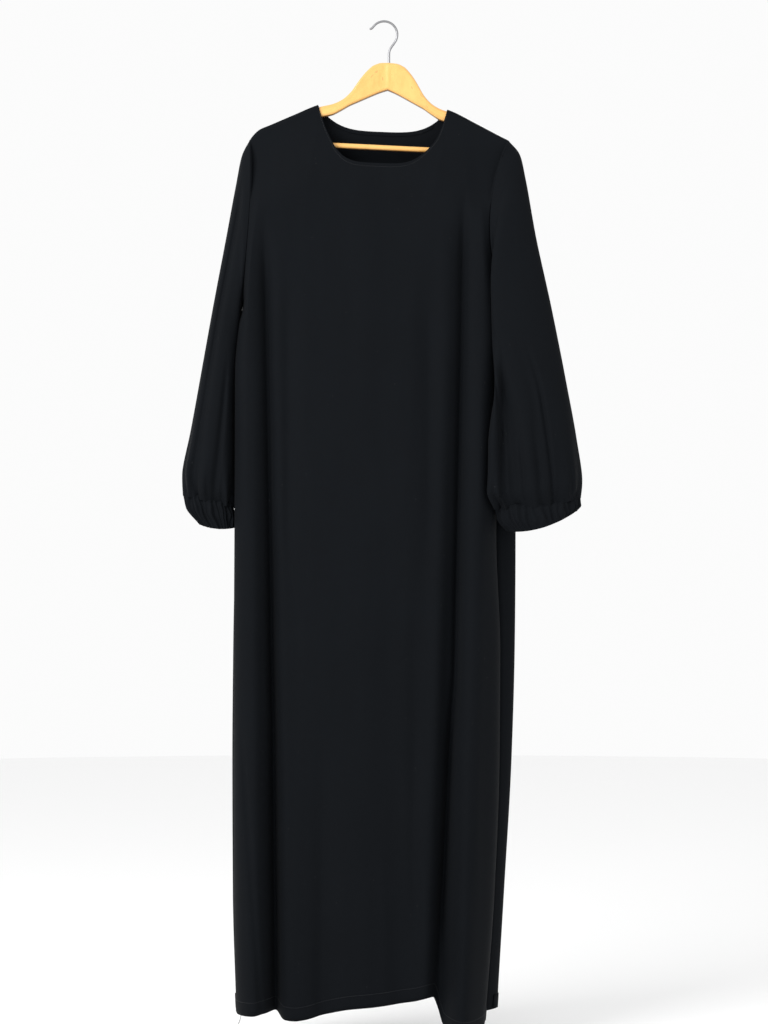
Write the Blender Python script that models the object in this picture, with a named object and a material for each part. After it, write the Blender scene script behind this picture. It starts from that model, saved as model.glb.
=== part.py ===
"""A long abaya with balloon sleeves, hung on the wooden clothes hanger that holds it.

Sizes are in millimetres and MM turns them into metres. X points to the right of someone who looks
at the front, -Y to that person, and +Z up. The origin is the inside top of the hanger's hook, where
a rail would touch it, and a drop is how far a point lies below it.
"""

import math
from collections import namedtuple

import bmesh
import bpy
import numpy as np
from mathutils import Vector

MM = 0.001

# Cloth
CLOTH = 1.5
SEAM_GAP = 0.3
ARMHOLE_GAP = 0.6
SLEEVE_CLEARANCE = 3.0
SLEEVE_SQUEEZE = 0.55
SLEEVE_REACH = 9.0

# Hanger, which leans to the right
TILT = math.radians(2.8)
PEAK_X = 8.3
PEAK_DROP = 67.2
ARM_HALF_THICKNESS = 7.0
ARM_ROUNDING = 5.6
SWEEP = 12.0
SWEEP_REACH = 215.0
BAR_RADIUS = 4.7
BAR_DOWN = 142.5
BAR_REACH = 190.0
BAR_SOCKET = 24.0
FIT = 0.3

# Hook
WIRE_RADIUS = 1.9
HOOK_RADIUS = 22.0
SHANK_DEPTH = 15.0
BORE_RADIUS = 2.25

# Outline of one hanger arm, from the middle outwards
ArmRow = namedtuple("ArmRow", "reach top bottom")
ARM = (
    ArmRow(0.0, 0.0, 46.5),
    ArmRow(12.0, 0.7, 51.0),
    ArmRow(25.0, 5.4, 57.0),
    ArmRow(35.0, 14.5, 62.0),
    ArmRow(45.0, 27.0, 67.0),
    ArmRow(52.0, 38.0, 70.5),
    ArmRow(61.0, 52.0, 75.0),
    ArmRow(75.0, 65.6, 84.0),
    ArmRow(90.0, 73.3, 92.4),
    ArmRow(112.0, 79.8, 98.4),
    ArmRow(150.0, 97.8, 122.8),
    ArmRow(188.0, 116.2, 151.7),
    ArmRow(197.0, 120.7, 152.7),
    ArmRow(202.0, 127.7, 146.7),
)
# Where the shoulder seam lies over the arm and falls past its end
ShoulderRow = namedtuple("ShoulderRow", "reach down")
SHOULDER = (
    ShoulderRow(95.0, 70.8),
    ShoulderRow(112.0, 76.4),
    ShoulderRow(150.0, 94.5),
    ShoulderRow(190.0, 114.0),
    ShoulderRow(207.0, 122.2),
    ShoulderRow(216.0, 130.2),
    ShoulderRow(224.0, 141.0),
    ShoulderRow(230.0, 154.0),
)
LEFT_NECK = -111.0
RIGHT_NECK = 103.0
LEFT_SHOULDER = -224.0
RIGHT_SHOULDER = 204.0
ARM_WRAP = 9.4
DRAPE_DROP = 150.0

# Neckline
FRONT_NECK_DEPTH = 95.0
FRONT_NECK_POWER = 4.2
BACK_NECK_DEPTH = 38.5
BACK_NECK_POWER = 3.7
NECK_STEPS_DOWN = (0.0, 1.0, 3.4, 9.5)
NECK_BAND_WIDTH = 6.5
NECK_BAND_THICKNESS = 1.0

# Armholes
UNDERARM_DROP = 472.0
ARMHOLE_DEPTH = 34.0
ARMHOLE_POWER = 2.3
Armhole = namedtuple("Armhole", "underarm_x front_bow back_bow")
ARMHOLES = {
    -1: Armhole(-235.0, 6.0, 4.0),
    1: Armhole(203.0, 31.0, 8.0),
}

# Side edges and depth of the hanging body, below the underarm
BodyRow = namedtuple("BodyRow", "drop front_left front_right back_left back_right front back")
BODY = (
    BodyRow(190, -229, 206, -229, 206, 36, 28),
    BodyRow(472, -235, 203, -235, 203, 44, 34),
    BodyRow(585, -250, 192, -250, 214, 46, 36),
    BodyRow(700, -250.5, 190, -251, 224, 48, 38),
    BodyRow(850, -251, 190, -252, 229, 50, 40),
    BodyRow(1040, -252, 197, -256, 227, 54, 42),
    BodyRow(1220, -252, 196, -258, 221, 58, 44),
    BodyRow(1450, -251, 187, -257, 206, 64, 46),
    BodyRow(1600, -248, 176, -252, 196, 68, 48),
    BodyRow(1680, -245, 169, -248, 191, 69, 48),
)
SIDE_TUCK = 7.0

# Folds that run down a panel; negative depths are troughs, positive ones are ridges
Fold = namedtuple("Fold", "x_top x_bottom top bottom width depth_top depth_bottom")
FRONT_FOLDS = (
    Fold(-198, -178, 300, 1660, 15, -9, -30),
    Fold(-158, -152, 380, 1300, 20, -5, -4),
    Fold(-100, -98, 1100, 1660, 24, 0, -9),
    Fold(-30, -34, 260, 900, 26, 3, 0),
    Fold(76, 64, 380, 1350, 22, -5, -6),
    Fold(20, 30, 700, 1660, 45, 0, -14),
    Fold(134, 92, 250, 1660, 17, -8, -32),
    Fold(160, 128, 480, 1660, 24, 3, 20),
    Fold(-215, -212, 700, 1660, 14, 2, 10),
)
BACK_FOLDS = (
    Fold(-176, -190, 330, 1660, 18, -7, -24),
    Fold(-92, -104, 420, 1660, 26, -4, -12),
    Fold(-30, -20, 300, 1660, 30, 2, 8),
    Fold(52, 64, 520, 1660, 22, -4, -16),
    Fold(150, 138, 340, 1660, 20, -8, -26),
)
FOLD_FADE = 160.0

# Hem of each panel, from its left side to its right side
HemPoint = namedtuple("HemPoint", "across drop")
FRONT_HEM = (
    HemPoint(0.0, 1639),
    HemPoint(0.12, 1638),
    HemPoint(0.21, 1634),
    HemPoint(0.26, 1646),
    HemPoint(0.32, 1647),
    HemPoint(0.45, 1628),
    HemPoint(0.55, 1623),
    HemPoint(0.65, 1617),
    HemPoint(0.75, 1610),
    HemPoint(0.81, 1662),
    HemPoint(0.90, 1668),
    HemPoint(0.96, 1662),
    HemPoint(1.0, 1641),
)
BACK_HEM = (
    HemPoint(0.0, 1639),
    HemPoint(0.2, 1635),
    HemPoint(0.5, 1616),
    HemPoint(0.7, 1610),
    HemPoint(0.85, 1630),
    HemPoint(1.0, 1641),
)

# Guide columns of a panel: how far each lies from the panel's left side, at the shoulder and below
Guide = namedtuple("Guide", "column shoulder chest hem")
FRONT_GUIDES = (
    Guide(5, -196.0, -224.0, -222.0),
    Guide(9, -160.0, -196.0, -178.0),
    Guide(14, LEFT_NECK, -150.0, -140.0),
    Guide(21, 0.0, -18.0, -20.0),
    Guide(28, RIGHT_NECK, 84.0, 50.0),
    Guide(33, 150.0, 130.0, 92.0),
    Guide(37, 184.0, 162.0, 128.0),
)
FRONT_COLUMNS = 42
FRONT_SIDE_COLUMNS = 5
BACK_GUIDES = (
    Guide(4, -196.0, -222.0, -224.0),
    Guide(7, -160.0, -178.0, -190.0),
    Guide(10, LEFT_NECK, -130.0, -136.0),
    Guide(17, 0.0, -18.0, -22.0),
    Guide(24, RIGHT_NECK, 90.0, 88.0),
    Guide(27, 150.0, 148.0, 138.0),
    Guide(30, 184.0, 186.0, 172.0),
)
BACK_COLUMNS = 34
BACK_SIDE_COLUMNS = 4
GUIDE_SHIFT_DROP = 330.0
CHEST_DROP = 520.0
HEM_DROP = 1650.0

# How far each row of a panel lies below its top edge
PANEL_ROWS = (0, 1, 3.4, 9.5, 24, 52, 90, 130, 175, 225, 275, 330, 400, 480, 570,
              665, 765, 865, 965, 1065, 1165, 1260, 1340, 1400, 1450)
ROW_SPAN = 1450.0
NUDGE = 0.02
TOP_ROWS = 4

# Sleeve rings below the armhole, down to the cuff: the outer and inner edge as seen from the front,
# the depth, how far the front rolls over the body, and how far the middle of a ring sags
Ring = namedtuple("Ring", "outer_x outer_drop inner_x inner_drop y front back roll sag")
LEFT_SLEEVE = (
    Ring(-235, 222, -239.5, 494, 1, 35, 33, 5, 0),
    Ring(-246, 275, -244, 532, 3, 34, 32, 4, 0),
    Ring(-261, 355, -246, 580, 3, 33, 31, 2, 0),
    Ring(-283, 470, -247, 640, 1, 34, 31, 0, 0),
    Ring(-303, 580, -247.5, 700, -1, 37, 32, 0, 0),
    Ring(-320, 676, -248, 748, -2, 39, 33, 0, 0),
    Ring(-333, 750, -248.5, 783, -2, 37, 31, 0, 0),
    Ring(-331, 786, -250, 806, -2, 27, 24, 0, 0),
)
RIGHT_SLEEVE = (
    Ring(225, 222, 207, 498, -4, 38, 32, 34, 0),
    Ring(235, 268, 204, 540, -14, 38, 30, 42, 0),
    Ring(250, 355, 192, 592, -23, 35, 26, 36, 0),
    Ring(276, 475, 177, 648, -30, 33, 23, 14, 0),
    Ring(299, 590, 171, 704, -32, 35, 24, 0, 0),
    Ring(316, 685, 171, 748, -33, 38, 27, 0, 1),
    Ring(325, 757, 171, 778, -33, 37, 27, 0, 4),
    Ring(322, 790, 184, 808, -31, 28, 22, 0, 7),
)
BACK_BOW_FADE = 2.0
AROUND_BODY_RINGS = 3.5
FRONT_ROLL_RING = 0.5
FULL_SLEEVE_RING = 4.0
SLEEVE_POINTS = 32
SLEEVE_RINGS = (0.0, 0.35, 0.8, 1.4, 2.1, 2.9, 3.7, 4.5, 5.3, 6.0, 6.6, 7.1, 7.5, 7.8, 8.0)
SLEEVE_GATHERS = 8
SLEEVE_GATHER_DEPTH = 3.2
GATHER_FROM_RING = 5.0

# Long soft troughs down a sleeve, by their place across its front or back
SleeveFold = namedtuple("SleeveFold", "face across first last width depth")
LEFT_SLEEVE_FOLDS = (
    SleeveFold(-1, 0.55, 0.6, 7.0, 0.16, 6.0),
    SleeveFold(-1, -0.25, 3.5, 8.0, 0.14, 5.0),
    SleeveFold(1, 0.1, 1.0, 8.0, 0.18, 6.0),
)
RIGHT_SLEEVE_FOLDS = (
    SleeveFold(-1, -0.42, 0.6, 8.0, 0.17, 10.0),
    SleeveFold(-1, 0.15, 3.6, 8.0, 0.13, 5.0),
    SleeveFold(1, 0.35, 1.0, 8.0, 0.18, 6.0),
)

# Cuffs: the outer and inner ends of the upper and lower edge, the depth and the sag
Cuff = namedtuple("Cuff", "outer_x outer_drop inner_x inner_drop y front back sag")
LEFT_CUFF = (
    Cuff(-331, 786, -250, 806, -2, 25, 22, 0),
    Cuff(-323, 808, -250, 823, -3, 25, 22, 0),
    Cuff(-302, 836, -250, 838, -4, 21, 18, 4),
)
RIGHT_CUFF = (
    Cuff(322, 790, 184, 808, -31, 26, 20, 7),
    Cuff(322, 802, 190, 828, -32, 26, 20, 9),
    Cuff(316, 812, 205, 845, -32, 22, 16, 10),
)
CUFF_POINTS = 48
CUFF_GATHERS = 12
CUFF_GATHER_DEPTH = 2.2
CUFF_GAP = 0.5
RING_POWER = 2.3


def smooth(value):
    """Eases a value from 0 to 1."""
    value = min(max(value, 0.0), 1.0)
    return value * value * (3.0 - 2.0 * value)


def mix(first, second, share):
    return first + (second - first) * share


def read(rows, at, column, key):
    """A column of a table at any place between its rows, on a smooth curve through them."""
    places = [getattr(row, key) if key else index for index, row in enumerate(rows)]
    values = [getattr(row, column) for row in rows]
    at = min(max(at, places[0]), places[-1])
    index = max(i for i, place in enumerate(places[:-1]) if place <= at)
    steps = [(values[i + 1] - values[i]) / (places[i + 1] - places[i]) for i in range(len(rows) - 1)]
    slopes = [steps[0]] + [
        0.0 if a * b <= 0 else 2 * a * b / (a + b) for a, b in zip(steps[:-1], steps[1:])
    ] + [steps[-1]]
    span = places[index + 1] - places[index]
    t = (at - places[index]) / span
    return (
        values[index] * (1 + 2 * t) * (1 - t) ** 2
        + values[index + 1] * t * t * (3 - 2 * t)
        + span * (slopes[index] * t * (1 - t) ** 2 - slopes[index + 1] * t * t * (1 - t))
    )


def on_hanger(across, down):
    """World x and drop of a point given along and below the leaning hanger."""
    x = PEAK_X + across * math.cos(TILT) - down * math.sin(TILT)
    drop = PEAK_DROP + down * math.cos(TILT) + across * math.sin(TILT)
    return x, drop


def forward(x, drop):
    """How far the bent hanger, and the shoulders on it, lie in front of the hook."""
    reach = min(abs(x - PEAK_X) / SWEEP_REACH, 1.0)
    return -SWEEP * reach ** 1.2 * (1.0 - smooth((drop - 230.0) / 420.0))


def placed(points):
    """Moves points that were worked out on a straight hanger onto the bent one, in metres."""
    points = np.array(points, float)
    flat = points.reshape(-1, 3)
    for point in flat:
        point[1] += forward(point[0], -point[2])
    return points * MM


def superellipse(share, power):
    return max(0.0, 1.0 - abs(share) ** power) ** (1.0 / power)


def shoulder_point(across):
    down = read(SHOULDER, abs(across), "down", "reach")
    return on_hanger(across, down)


def armhole_top(side):
    return shoulder_point(LEFT_SHOULDER if side < 0 else RIGHT_SHOULDER)


def armhole_share(side, drop):
    """Where a drop lies on the armhole, from -1 at the shoulder to 1 under the arm."""
    top = armhole_top(side)[1]
    return (2.0 * drop - top - UNDERARM_DROP) / (UNDERARM_DROP - top)


def armhole_x(side, drop, face):
    """The armhole seam bows in towards the chest, more at the front than at the back."""
    hole = ARMHOLES[side]
    top_x, top = armhole_top(side)
    share = armhole_share(side, drop)
    bow = hole.front_bow if face < 0 else hole.back_bow
    straight = mix(top_x, hole.underarm_x, smooth((drop - top) / (UNDERARM_DROP - top)))
    return straight - side * bow * superellipse(share, 2.0) ** 2


def armhole_depth(side, drop):
    return ARMHOLE_DEPTH * superellipse(armhole_share(side, drop), ARMHOLE_POWER)


def neck_form(face):
    if face < 0:
        return FRONT_NECK_DEPTH, FRONT_NECK_POWER
    return BACK_NECK_DEPTH, BACK_NECK_POWER


def neck_share(place, steps, face):
    """How far across the neck a column lies. Those beside its corners follow the wrap over the arm."""
    if place > steps / 2:
        return 1.0 - neck_share(steps - place, steps, face)
    depth, power = neck_form(face)
    shares = [0.5 - 0.5 * (1.0 - down / depth) ** (1.0 / power) for down in NECK_STEPS_DOWN]
    last = len(shares) - 1
    if place <= last:
        return float(np.interp(place, range(last + 1), shares))
    start = math.acos(1.0 - 2.0 * shares[-1])
    turn = mix(start, math.pi / 2, (place - last) / (steps / 2 - last))
    return 0.5 - 0.5 * math.cos(turn)


def top_edge(across, face):
    """The drop of a panel's upper edge, and how far it lies below the line of the shoulders there."""
    if LEFT_NECK < across < RIGHT_NECK:
        share = (across - LEFT_NECK) / (RIGHT_NECK - LEFT_NECK)
        shoulders = mix(shoulder_point(LEFT_NECK)[1], shoulder_point(RIGHT_NECK)[1], share)
        depth, power = neck_form(face)
        below = depth * (1.0 - abs(2.0 * share - 1.0) ** power)
        return shoulders + below, below
    return shoulder_point(across)[1], 0.0


def top_across(column, face, guides, columns):
    """Where a column meets the top edge, closely spaced beside the neck's corners."""
    left = next(guide for guide in guides if guide.shoulder == LEFT_NECK).column
    right = next(guide for guide in guides if guide.shoulder == RIGHT_NECK).column
    if left <= column <= right:
        return mix(LEFT_NECK, RIGHT_NECK, neck_share(column - left, right - left, face))
    places = [0] + [guide.column for guide in guides] + [columns]
    values = [LEFT_SHOULDER] + [guide.shoulder for guide in guides] + [RIGHT_SHOULDER]
    return float(np.interp(column, places, values))


def side_x(side, drop, face):
    """The outermost x of a panel at a drop."""
    if drop < UNDERARM_DROP:
        return armhole_x(side, drop, face)
    name = ("front_" if face < 0 else "back_") + ("left" if side < 0 else "right")
    return read(BODY, drop, name, "drop")


def seam_x(side, drop):
    """The side seam is drawn in between the rolls of the front and the back."""
    front = side_x(side, drop, -1)
    back = side_x(side, drop, 1)
    inner = min(front, back) if side > 0 else max(front, back)
    return inner - side * SIDE_TUCK * smooth((drop - UNDERARM_DROP) / 120.0)


def fold_push(folds, x, drop):
    """How far the folds push a panel out of its plain form."""
    push = 0.0
    for fold in folds:
        share = (drop - fold.top) / (fold.bottom - fold.top)
        centre = mix(fold.x_top, fold.x_bottom, share)
        fade = smooth((drop - fold.top) / FOLD_FADE)
        if fold.bottom < HEM_DROP:
            fade *= smooth((fold.bottom - drop) / FOLD_FADE)
        height = mix(fold.depth_top, fold.depth_bottom, min(max(share, 0.0), 1.0))
        push += fade * height * math.exp(-(((x - centre) / fold.width) ** 2))
    return push


def panel_point(column, below_top, face, guides, columns, side_columns, folds, hem):
    """One outer point of the front (face -1) or the back (face 1)."""
    across = top_across(column, face, guides, columns)
    top_drop, below_shoulder = top_edge(across, face)
    hem_drop = read(hem, column / columns, "drop", "across")
    drop = top_drop + below_top * (hem_drop - top_drop) / ROW_SPAN
    hanging = drop - top_drop + below_shoulder

    side = -1 if column < columns / 2 else 1
    edge = side_x(side, drop, face)
    seam = seam_x(side, drop) if drop >= UNDERARM_DROP else edge
    inner_guide = guides[0] if side < 0 else guides[-1]
    steps = column if side < 0 else columns - column
    roundness = smooth((drop - UNDERARM_DROP + 60.0) / 160.0)
    chest_share = min(max((drop - CHEST_DROP) / (HEM_DROP - CHEST_DROP), 0.0), 1.0)
    guide_columns = [guide.column for guide in guides]
    low_places = [mix(guide.chest, guide.hem, chest_share) for guide in guides]
    if steps <= side_columns:
        q = steps / side_columns
        inner_x = mix(inner_guide.chest, inner_guide.hem, chest_share)
        round_x = mix(q, 1.0 - math.cos(q * math.pi / 2), roundness)
        low_x = mix(edge, inner_x, round_x) + (seam - edge) * max(0.0, 1.0 - 2.2 * q) ** 2
    else:
        q = 1.0
        low_x = float(np.interp(column, guide_columns, low_places))
    shift = smooth((drop - top_drop) / GUIDE_SHIFT_DROP) if steps else 1.0
    share = (across - LEFT_SHOULDER) / (RIGHT_SHOULDER - LEFT_SHOULDER)
    x = mix(mix(side_x(-1, drop, face), side_x(1, drop, face), share), low_x, shift)

    depth = read(BODY, drop, "front" if face < 0 else "back", "drop")
    depth += fold_push(folds, x, drop) * mix(q, 1.0, 0.3)
    wrap = ARM_WRAP * superellipse(1.0 - min(hanging / ARM_WRAP, 1.0), 3.0)
    inner_y = wrap + (depth - ARM_WRAP) * smooth(hanging / DRAPE_DROP) * min(hanging / 9.0, 1.0)
    level = max(drop, armhole_top(side)[1] + hanging)
    edge_y = armhole_depth(side, level) if drop < UNDERARM_DROP else 0.0
    edge_y = min(edge_y, inner_y) if steps else edge_y
    y = mix(edge_y, inner_y, math.sin(q * math.pi / 2))
    return [x, face * max(y, SEAM_GAP / 2), -drop]


def panel_skins(face, guides, columns, side_columns, folds, hem):
    """The outer and inner points of a panel. At its seams the wall ends square to the other piece."""

    def at(column, below):
        return np.array(panel_point(column, below, face, guides, columns, side_columns, folds, hem))

    outer = []
    inner = []
    for below in PANEL_ROWS:
        outer_row = []
        inner_row = []
        for column in range(columns + 1):
            point = at(column, below)
            along = at(min(column + NUDGE, columns), below) - at(max(column - NUDGE, 0), below)
            down = at(column, min(below + NUDGE, ROW_SPAN)) - at(column, max(below - NUDGE, 0.0))
            normal = np.cross(down, along)
            offset = normal / np.linalg.norm(normal)
            offset *= face * CLOTH
            if column in (0, columns):
                above = -point[2] < UNDERARM_DROP - 1.0
                offset = flatten_offset(offset, (1, 0, 0) if above else (0, 1, 0))
            if below == 0 and abs(point[1]) <= SEAM_GAP / 2:
                offset = np.array([0.0, 0.0, -CLOTH])
            outer_row.append(point)
            inner_row.append(point + offset)
        outer.append(outer_row)
        inner.append(inner_row)
    return np.array(outer), np.array(inner)


def grid_normals(grid, wraps):
    """Unit normals of a grid of points, from its neighbouring rows and columns."""
    down = np.gradient(grid, axis=0)
    if wraps:
        along = (np.roll(grid, -1, axis=1) - np.roll(grid, 1, axis=1)) / 2
    else:
        along = np.gradient(grid, axis=1)
    normals = np.cross(along, down)
    return normals / np.linalg.norm(normals, axis=2, keepdims=True)


def flatten_offset(offset, axis):
    """Turns a wall's offset so that it stays in the plane square to an axis, at full thickness."""
    axis = np.array(axis, float) / np.linalg.norm(axis)
    turned = offset - axis * (offset @ axis)
    return turned / np.linalg.norm(turned) * CLOTH


def wall_mesh(name, outer, inner, wraps):
    """A closed cloth wall between two grids of points. A wrapped one is a tube."""
    rows, columns = outer.shape[:2]
    shape = bmesh.new()
    skins = [
        [[shape.verts.new(point) for point in row] for row in placed(grid)] for grid in (outer, inner)
    ]
    last = columns if wraps else columns - 1
    for row in range(rows - 1):
        for column in range(last):
            beside = (column + 1) % columns
            corners = [(row, column), (row, beside), (row + 1, beside), (row + 1, column)]
            for skin in skins:
                shape.faces.new([skin[r][c] for r, c in corners])
    edges = [[(row, c) for c in range(columns)] for row in (0, rows - 1)]
    if wraps:
        edges = [edge + edge[:1] for edge in edges]
    else:
        edges += [[(r, column) for r in range(rows)] for column in (0, columns - 1)]
    for edge in edges:
        for (r1, c1), (r2, c2) in zip(edge[:-1], edge[1:]):
            shape.faces.new([skins[0][r1][c1], skins[0][r2][c2], skins[1][r2][c2], skins[1][r1][c1]])
    return finished(name, shape)


def finished(name, shape):
    """Links a mesh to the scene as an object with its faces pointing outwards."""
    bmesh.ops.recalc_face_normals(shape, faces=shape.faces)
    mesh = bpy.data.meshes.new(name)
    shape.to_mesh(mesh)
    shape.free()
    mesh.shade_smooth()
    mesh.set_sharp_from_angle(angle=math.radians(50))
    made = bpy.data.objects.new(name, mesh)
    bpy.context.scene.collection.objects.link(made)
    return made


def material(name, colour, roughness, metallic=0.0):
    made = bpy.data.materials.new(name)
    made.use_nodes = True
    shader = made.node_tree.nodes["Principled BSDF"]
    shader.inputs["Base Color"].default_value = (*colour, 1.0)
    shader.inputs["Roughness"].default_value = roughness
    shader.inputs["Metallic"].default_value = metallic
    return made


def make_panel(name, face, guides, columns, side_columns, folds, hem, finish):
    outer, inner = panel_skins(face, guides, columns, side_columns, folds, hem)
    wall_mesh(name, outer, inner, False).data.materials.append(finish)
    return outer, inner


def body_surface(front, x, drop):
    """How far forward the body reaches on its right side, for the sleeve that lies on it."""
    xs = []
    ys = []
    for column in range(front.shape[1]):
        drops = -front[:, column, 2]
        xs.append(np.interp(drop, drops, front[:, column, 0]))
        ys.append(np.interp(drop, drops, front[:, column, 1]))
    last = int(np.argmax(xs)) + 1
    if x <= xs[last - 1]:
        return float(np.interp(x, xs[:last], ys[:last]))
    return max(0.0, x - side_x(1, drop, 1) - SLEEVE_CLEARANCE)


def lay_on_body(point, behind, front, side):
    """Presses a sleeve's point forward where the body is behind it, with room for what it covers."""
    x, y, drop = point[0], point[1], -point[2]
    if side < 0:
        return point
    near = [body_surface(front, x + step, drop) for step in (-SLEEVE_REACH, 0.0, SLEEVE_REACH)]
    return [x, min(y, min(near) - SLEEVE_CLEARANCE - behind), -drop]


def ring_points(row, count, gathers, gather_depth, phase):
    """A ring between an outer and an inner edge, as y and x-drop points, gathered in its own plane."""
    points = []
    middle = ((row.outer_x + row.inner_x) / 2, (row.outer_drop + row.inner_drop) / 2)
    half = ((row.outer_x - row.inner_x) / 2, (row.outer_drop - row.inner_drop) / 2)
    length = math.hypot(*half)
    for index in range(count):
        turn = 2.0 * math.pi * index / count
        cosine, sine = math.cos(turn), math.sin(turn)
        across = math.copysign(abs(cosine) ** (2.0 / RING_POWER), cosine)
        depth = math.copysign(abs(sine) ** (2.0 / RING_POWER), sine)
        wave = gather_depth * math.cos(gathers * turn + phase)
        across += wave * cosine / length
        face = -1 if sine > 0 else 1
        reach = row.front if face < 0 else row.back
        y = row.y - depth * reach - wave * sine
        sag = row.sag * max(0.0, 1.0 - across * across)
        points.append([middle[0] + half[0] * across, y, -(middle[1] + half[1] * across + sag)])
    return points


def armhole_edge(panel, side, drop):
    """The x of a panel's armhole edge at a drop."""
    column = 0 if side < 0 else -1
    return float(np.interp(drop, -panel[:, column, 2], panel[:, column, 0]))


def sleeve_grid(side, table, folds, panels):
    """Rings of a sleeve, from the armhole seam to the cuff."""
    top_x, top_drop = armhole_top(side)
    hole = ARMHOLES[side]
    start = Ring(top_x, top_drop, hole.underarm_x, UNDERARM_DROP, 0.0,
                 ARMHOLE_DEPTH, ARMHOLE_DEPTH, hole.front_bow, 0.0)
    table = (start, *table)
    grid = []
    for place in SLEEVE_RINGS:
        row = Ring(*[read(table, place, column, None) for column in Ring._fields])
        gathered = smooth((place - GATHER_FROM_RING) / (len(table) - 1 - GATHER_FROM_RING))
        points = ring_points(row, SLEEVE_POINTS, SLEEVE_GATHERS, SLEEVE_GATHER_DEPTH * gathered, 0.6)
        back_bow = hole.back_bow * (1.0 - smooth(place / BACK_BOW_FADE))
        for index, point in enumerate(points):
            turn = 2.0 * math.pi * index / SLEEVE_POINTS
            face = -1 if math.sin(turn) > 0 else 1
            bow = row.roll if face < 0 else back_bow
            point[0] -= side * bow * math.sin(turn) ** 2
            for fold in folds:
                if fold.face != face:
                    continue
                fade = smooth((place - fold.first) / 1.5) * smooth((fold.last + 1.2 - place) / 1.2)
                near = math.exp(-(((math.cos(turn) - fold.across) / fold.width) ** 2))
                point[1] -= face * fold.depth * fade * near
            over_front = face < 0 and place > FRONT_ROLL_RING
            if -point[2] < UNDERARM_DROP + 1.0 and not over_front:
                seam = armhole_edge(panels[face], side, -point[2]) + side * ARMHOLE_GAP
                point[0] = seam if place == 0.0 else side * max(side * point[0], side * seam)
            elif face > 0 and place < AROUND_BODY_RINGS:
                beside = side_x(side, -point[2], 1) + side * SLEEVE_CLEARANCE
                point[0] = side * max(side * point[0], side * beside)
        laid = []
        for index, point in enumerate(points):
            opposite = points[(SLEEVE_POINTS - index) % SLEEVE_POINTS]
            behind = SLEEVE_SQUEEZE * max(0.0, opposite[1] - point[1])
            behind *= smooth((place - FULL_SLEEVE_RING + 1.2) / 1.2)
            beside_body = 2 * index > SLEEVE_POINTS and place < AROUND_BODY_RINGS
            free = beside_body or place <= FRONT_ROLL_RING
            laid.append(point if free else lay_on_body(point, behind, panels[-1], side))
        grid.append(laid)
    return np.array(grid)


def tube_offsets(grid, first_axis, last_axis):
    """From each outer point of a tube to its inner one, square-cut at both ends."""
    normals = grid_normals(grid, True)
    middles = grid.mean(axis=1, keepdims=True)
    outward = np.sign((normals * (grid - middles)).sum(axis=2).mean())
    offsets = -CLOTH * outward * normals
    for column in range(grid.shape[1]):
        offsets[0, column] = flatten_offset(offsets[0, column], first_axis)
        offsets[-1, column] = flatten_offset(offsets[-1, column], last_axis)
    return offsets


def ring_axis(row):
    """The direction square to a ring's plane."""
    return (row.outer_drop - row.inner_drop, 0.0, row.outer_x - row.inner_x)


def make_sleeve(name, side, table, folds, panels, finish):
    grid = sleeve_grid(side, table, folds, panels)
    inner = grid + tube_offsets(grid, (1, 0, 0), ring_axis(table[-1]))
    wall_mesh(name, grid, inner, True).data.materials.append(finish)


def make_cuff(name, table, finish):
    """An elastic casing: a short gathered tube that starts just below the sleeve."""
    grid = []
    for place in (0.0, 0.5, 1.0, 1.5, 2.0):
        row = Cuff(*[read(table, place, column, None) for column in Cuff._fields])
        depth = CUFF_GATHER_DEPTH * (0.8 + 0.2 * math.cos(math.pi * (place - 1.0)))
        grid.append(ring_points(row, CUFF_POINTS, CUFF_GATHERS, depth, 0.0))
    grid = np.array(grid)
    grid[0, :, 2] -= CUFF_GAP
    inner = grid + tube_offsets(grid, ring_axis(table[0]), ring_axis(table[-1]))
    wall_mesh(name, grid, inner, True).data.materials.append(finish)


def make_neck_band(inner, finish):
    """The turned strip inside the back of the neck, on the back panel's inner skin."""
    first = next(guide for guide in BACK_GUIDES if guide.shoulder == LEFT_NECK).column + 4
    last = next(guide for guide in BACK_GUIDES if guide.shoulder == RIGHT_NECK).column - 4
    lengths = np.array(PANEL_ROWS[: TOP_ROWS + 1])
    near = []
    for below in (0.8, NECK_BAND_WIDTH / 2, NECK_BAND_WIDTH):
        row = []
        for column in range(first, last + 1):
            point = [np.interp(below, lengths, inner[: TOP_ROWS + 1, column, axis]) for axis in range(3)]
            row.append(point)
        near.append(row)
    near = np.array(near)
    near[:, :, 1] -= SEAM_GAP
    far = near - np.array([0.0, NECK_BAND_THICKNESS, 0.0])
    wall_mesh("neck_band", far, near, False).data.materials.append(finish)


def make_cutter(name, start, end, radius):
    """A round cutter between two points, in metres, left out of the model."""
    direction = end - start
    bpy.ops.mesh.primitive_cylinder_add(vertices=24, radius=radius, depth=direction.length)
    cutter = bpy.context.object
    cutter.name = name
    cutter.location = (start + end) / 2
    cutter.rotation_euler = direction.to_track_quat("Z", "Y").to_euler()
    cutter.hide_render = True
    cutter.display_type = "WIRE"
    return cutter


def cut(body, cutter):
    modifier = body.modifiers.new(cutter.name, "BOOLEAN")
    modifier.operation = "DIFFERENCE"
    modifier.object = cutter


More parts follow.
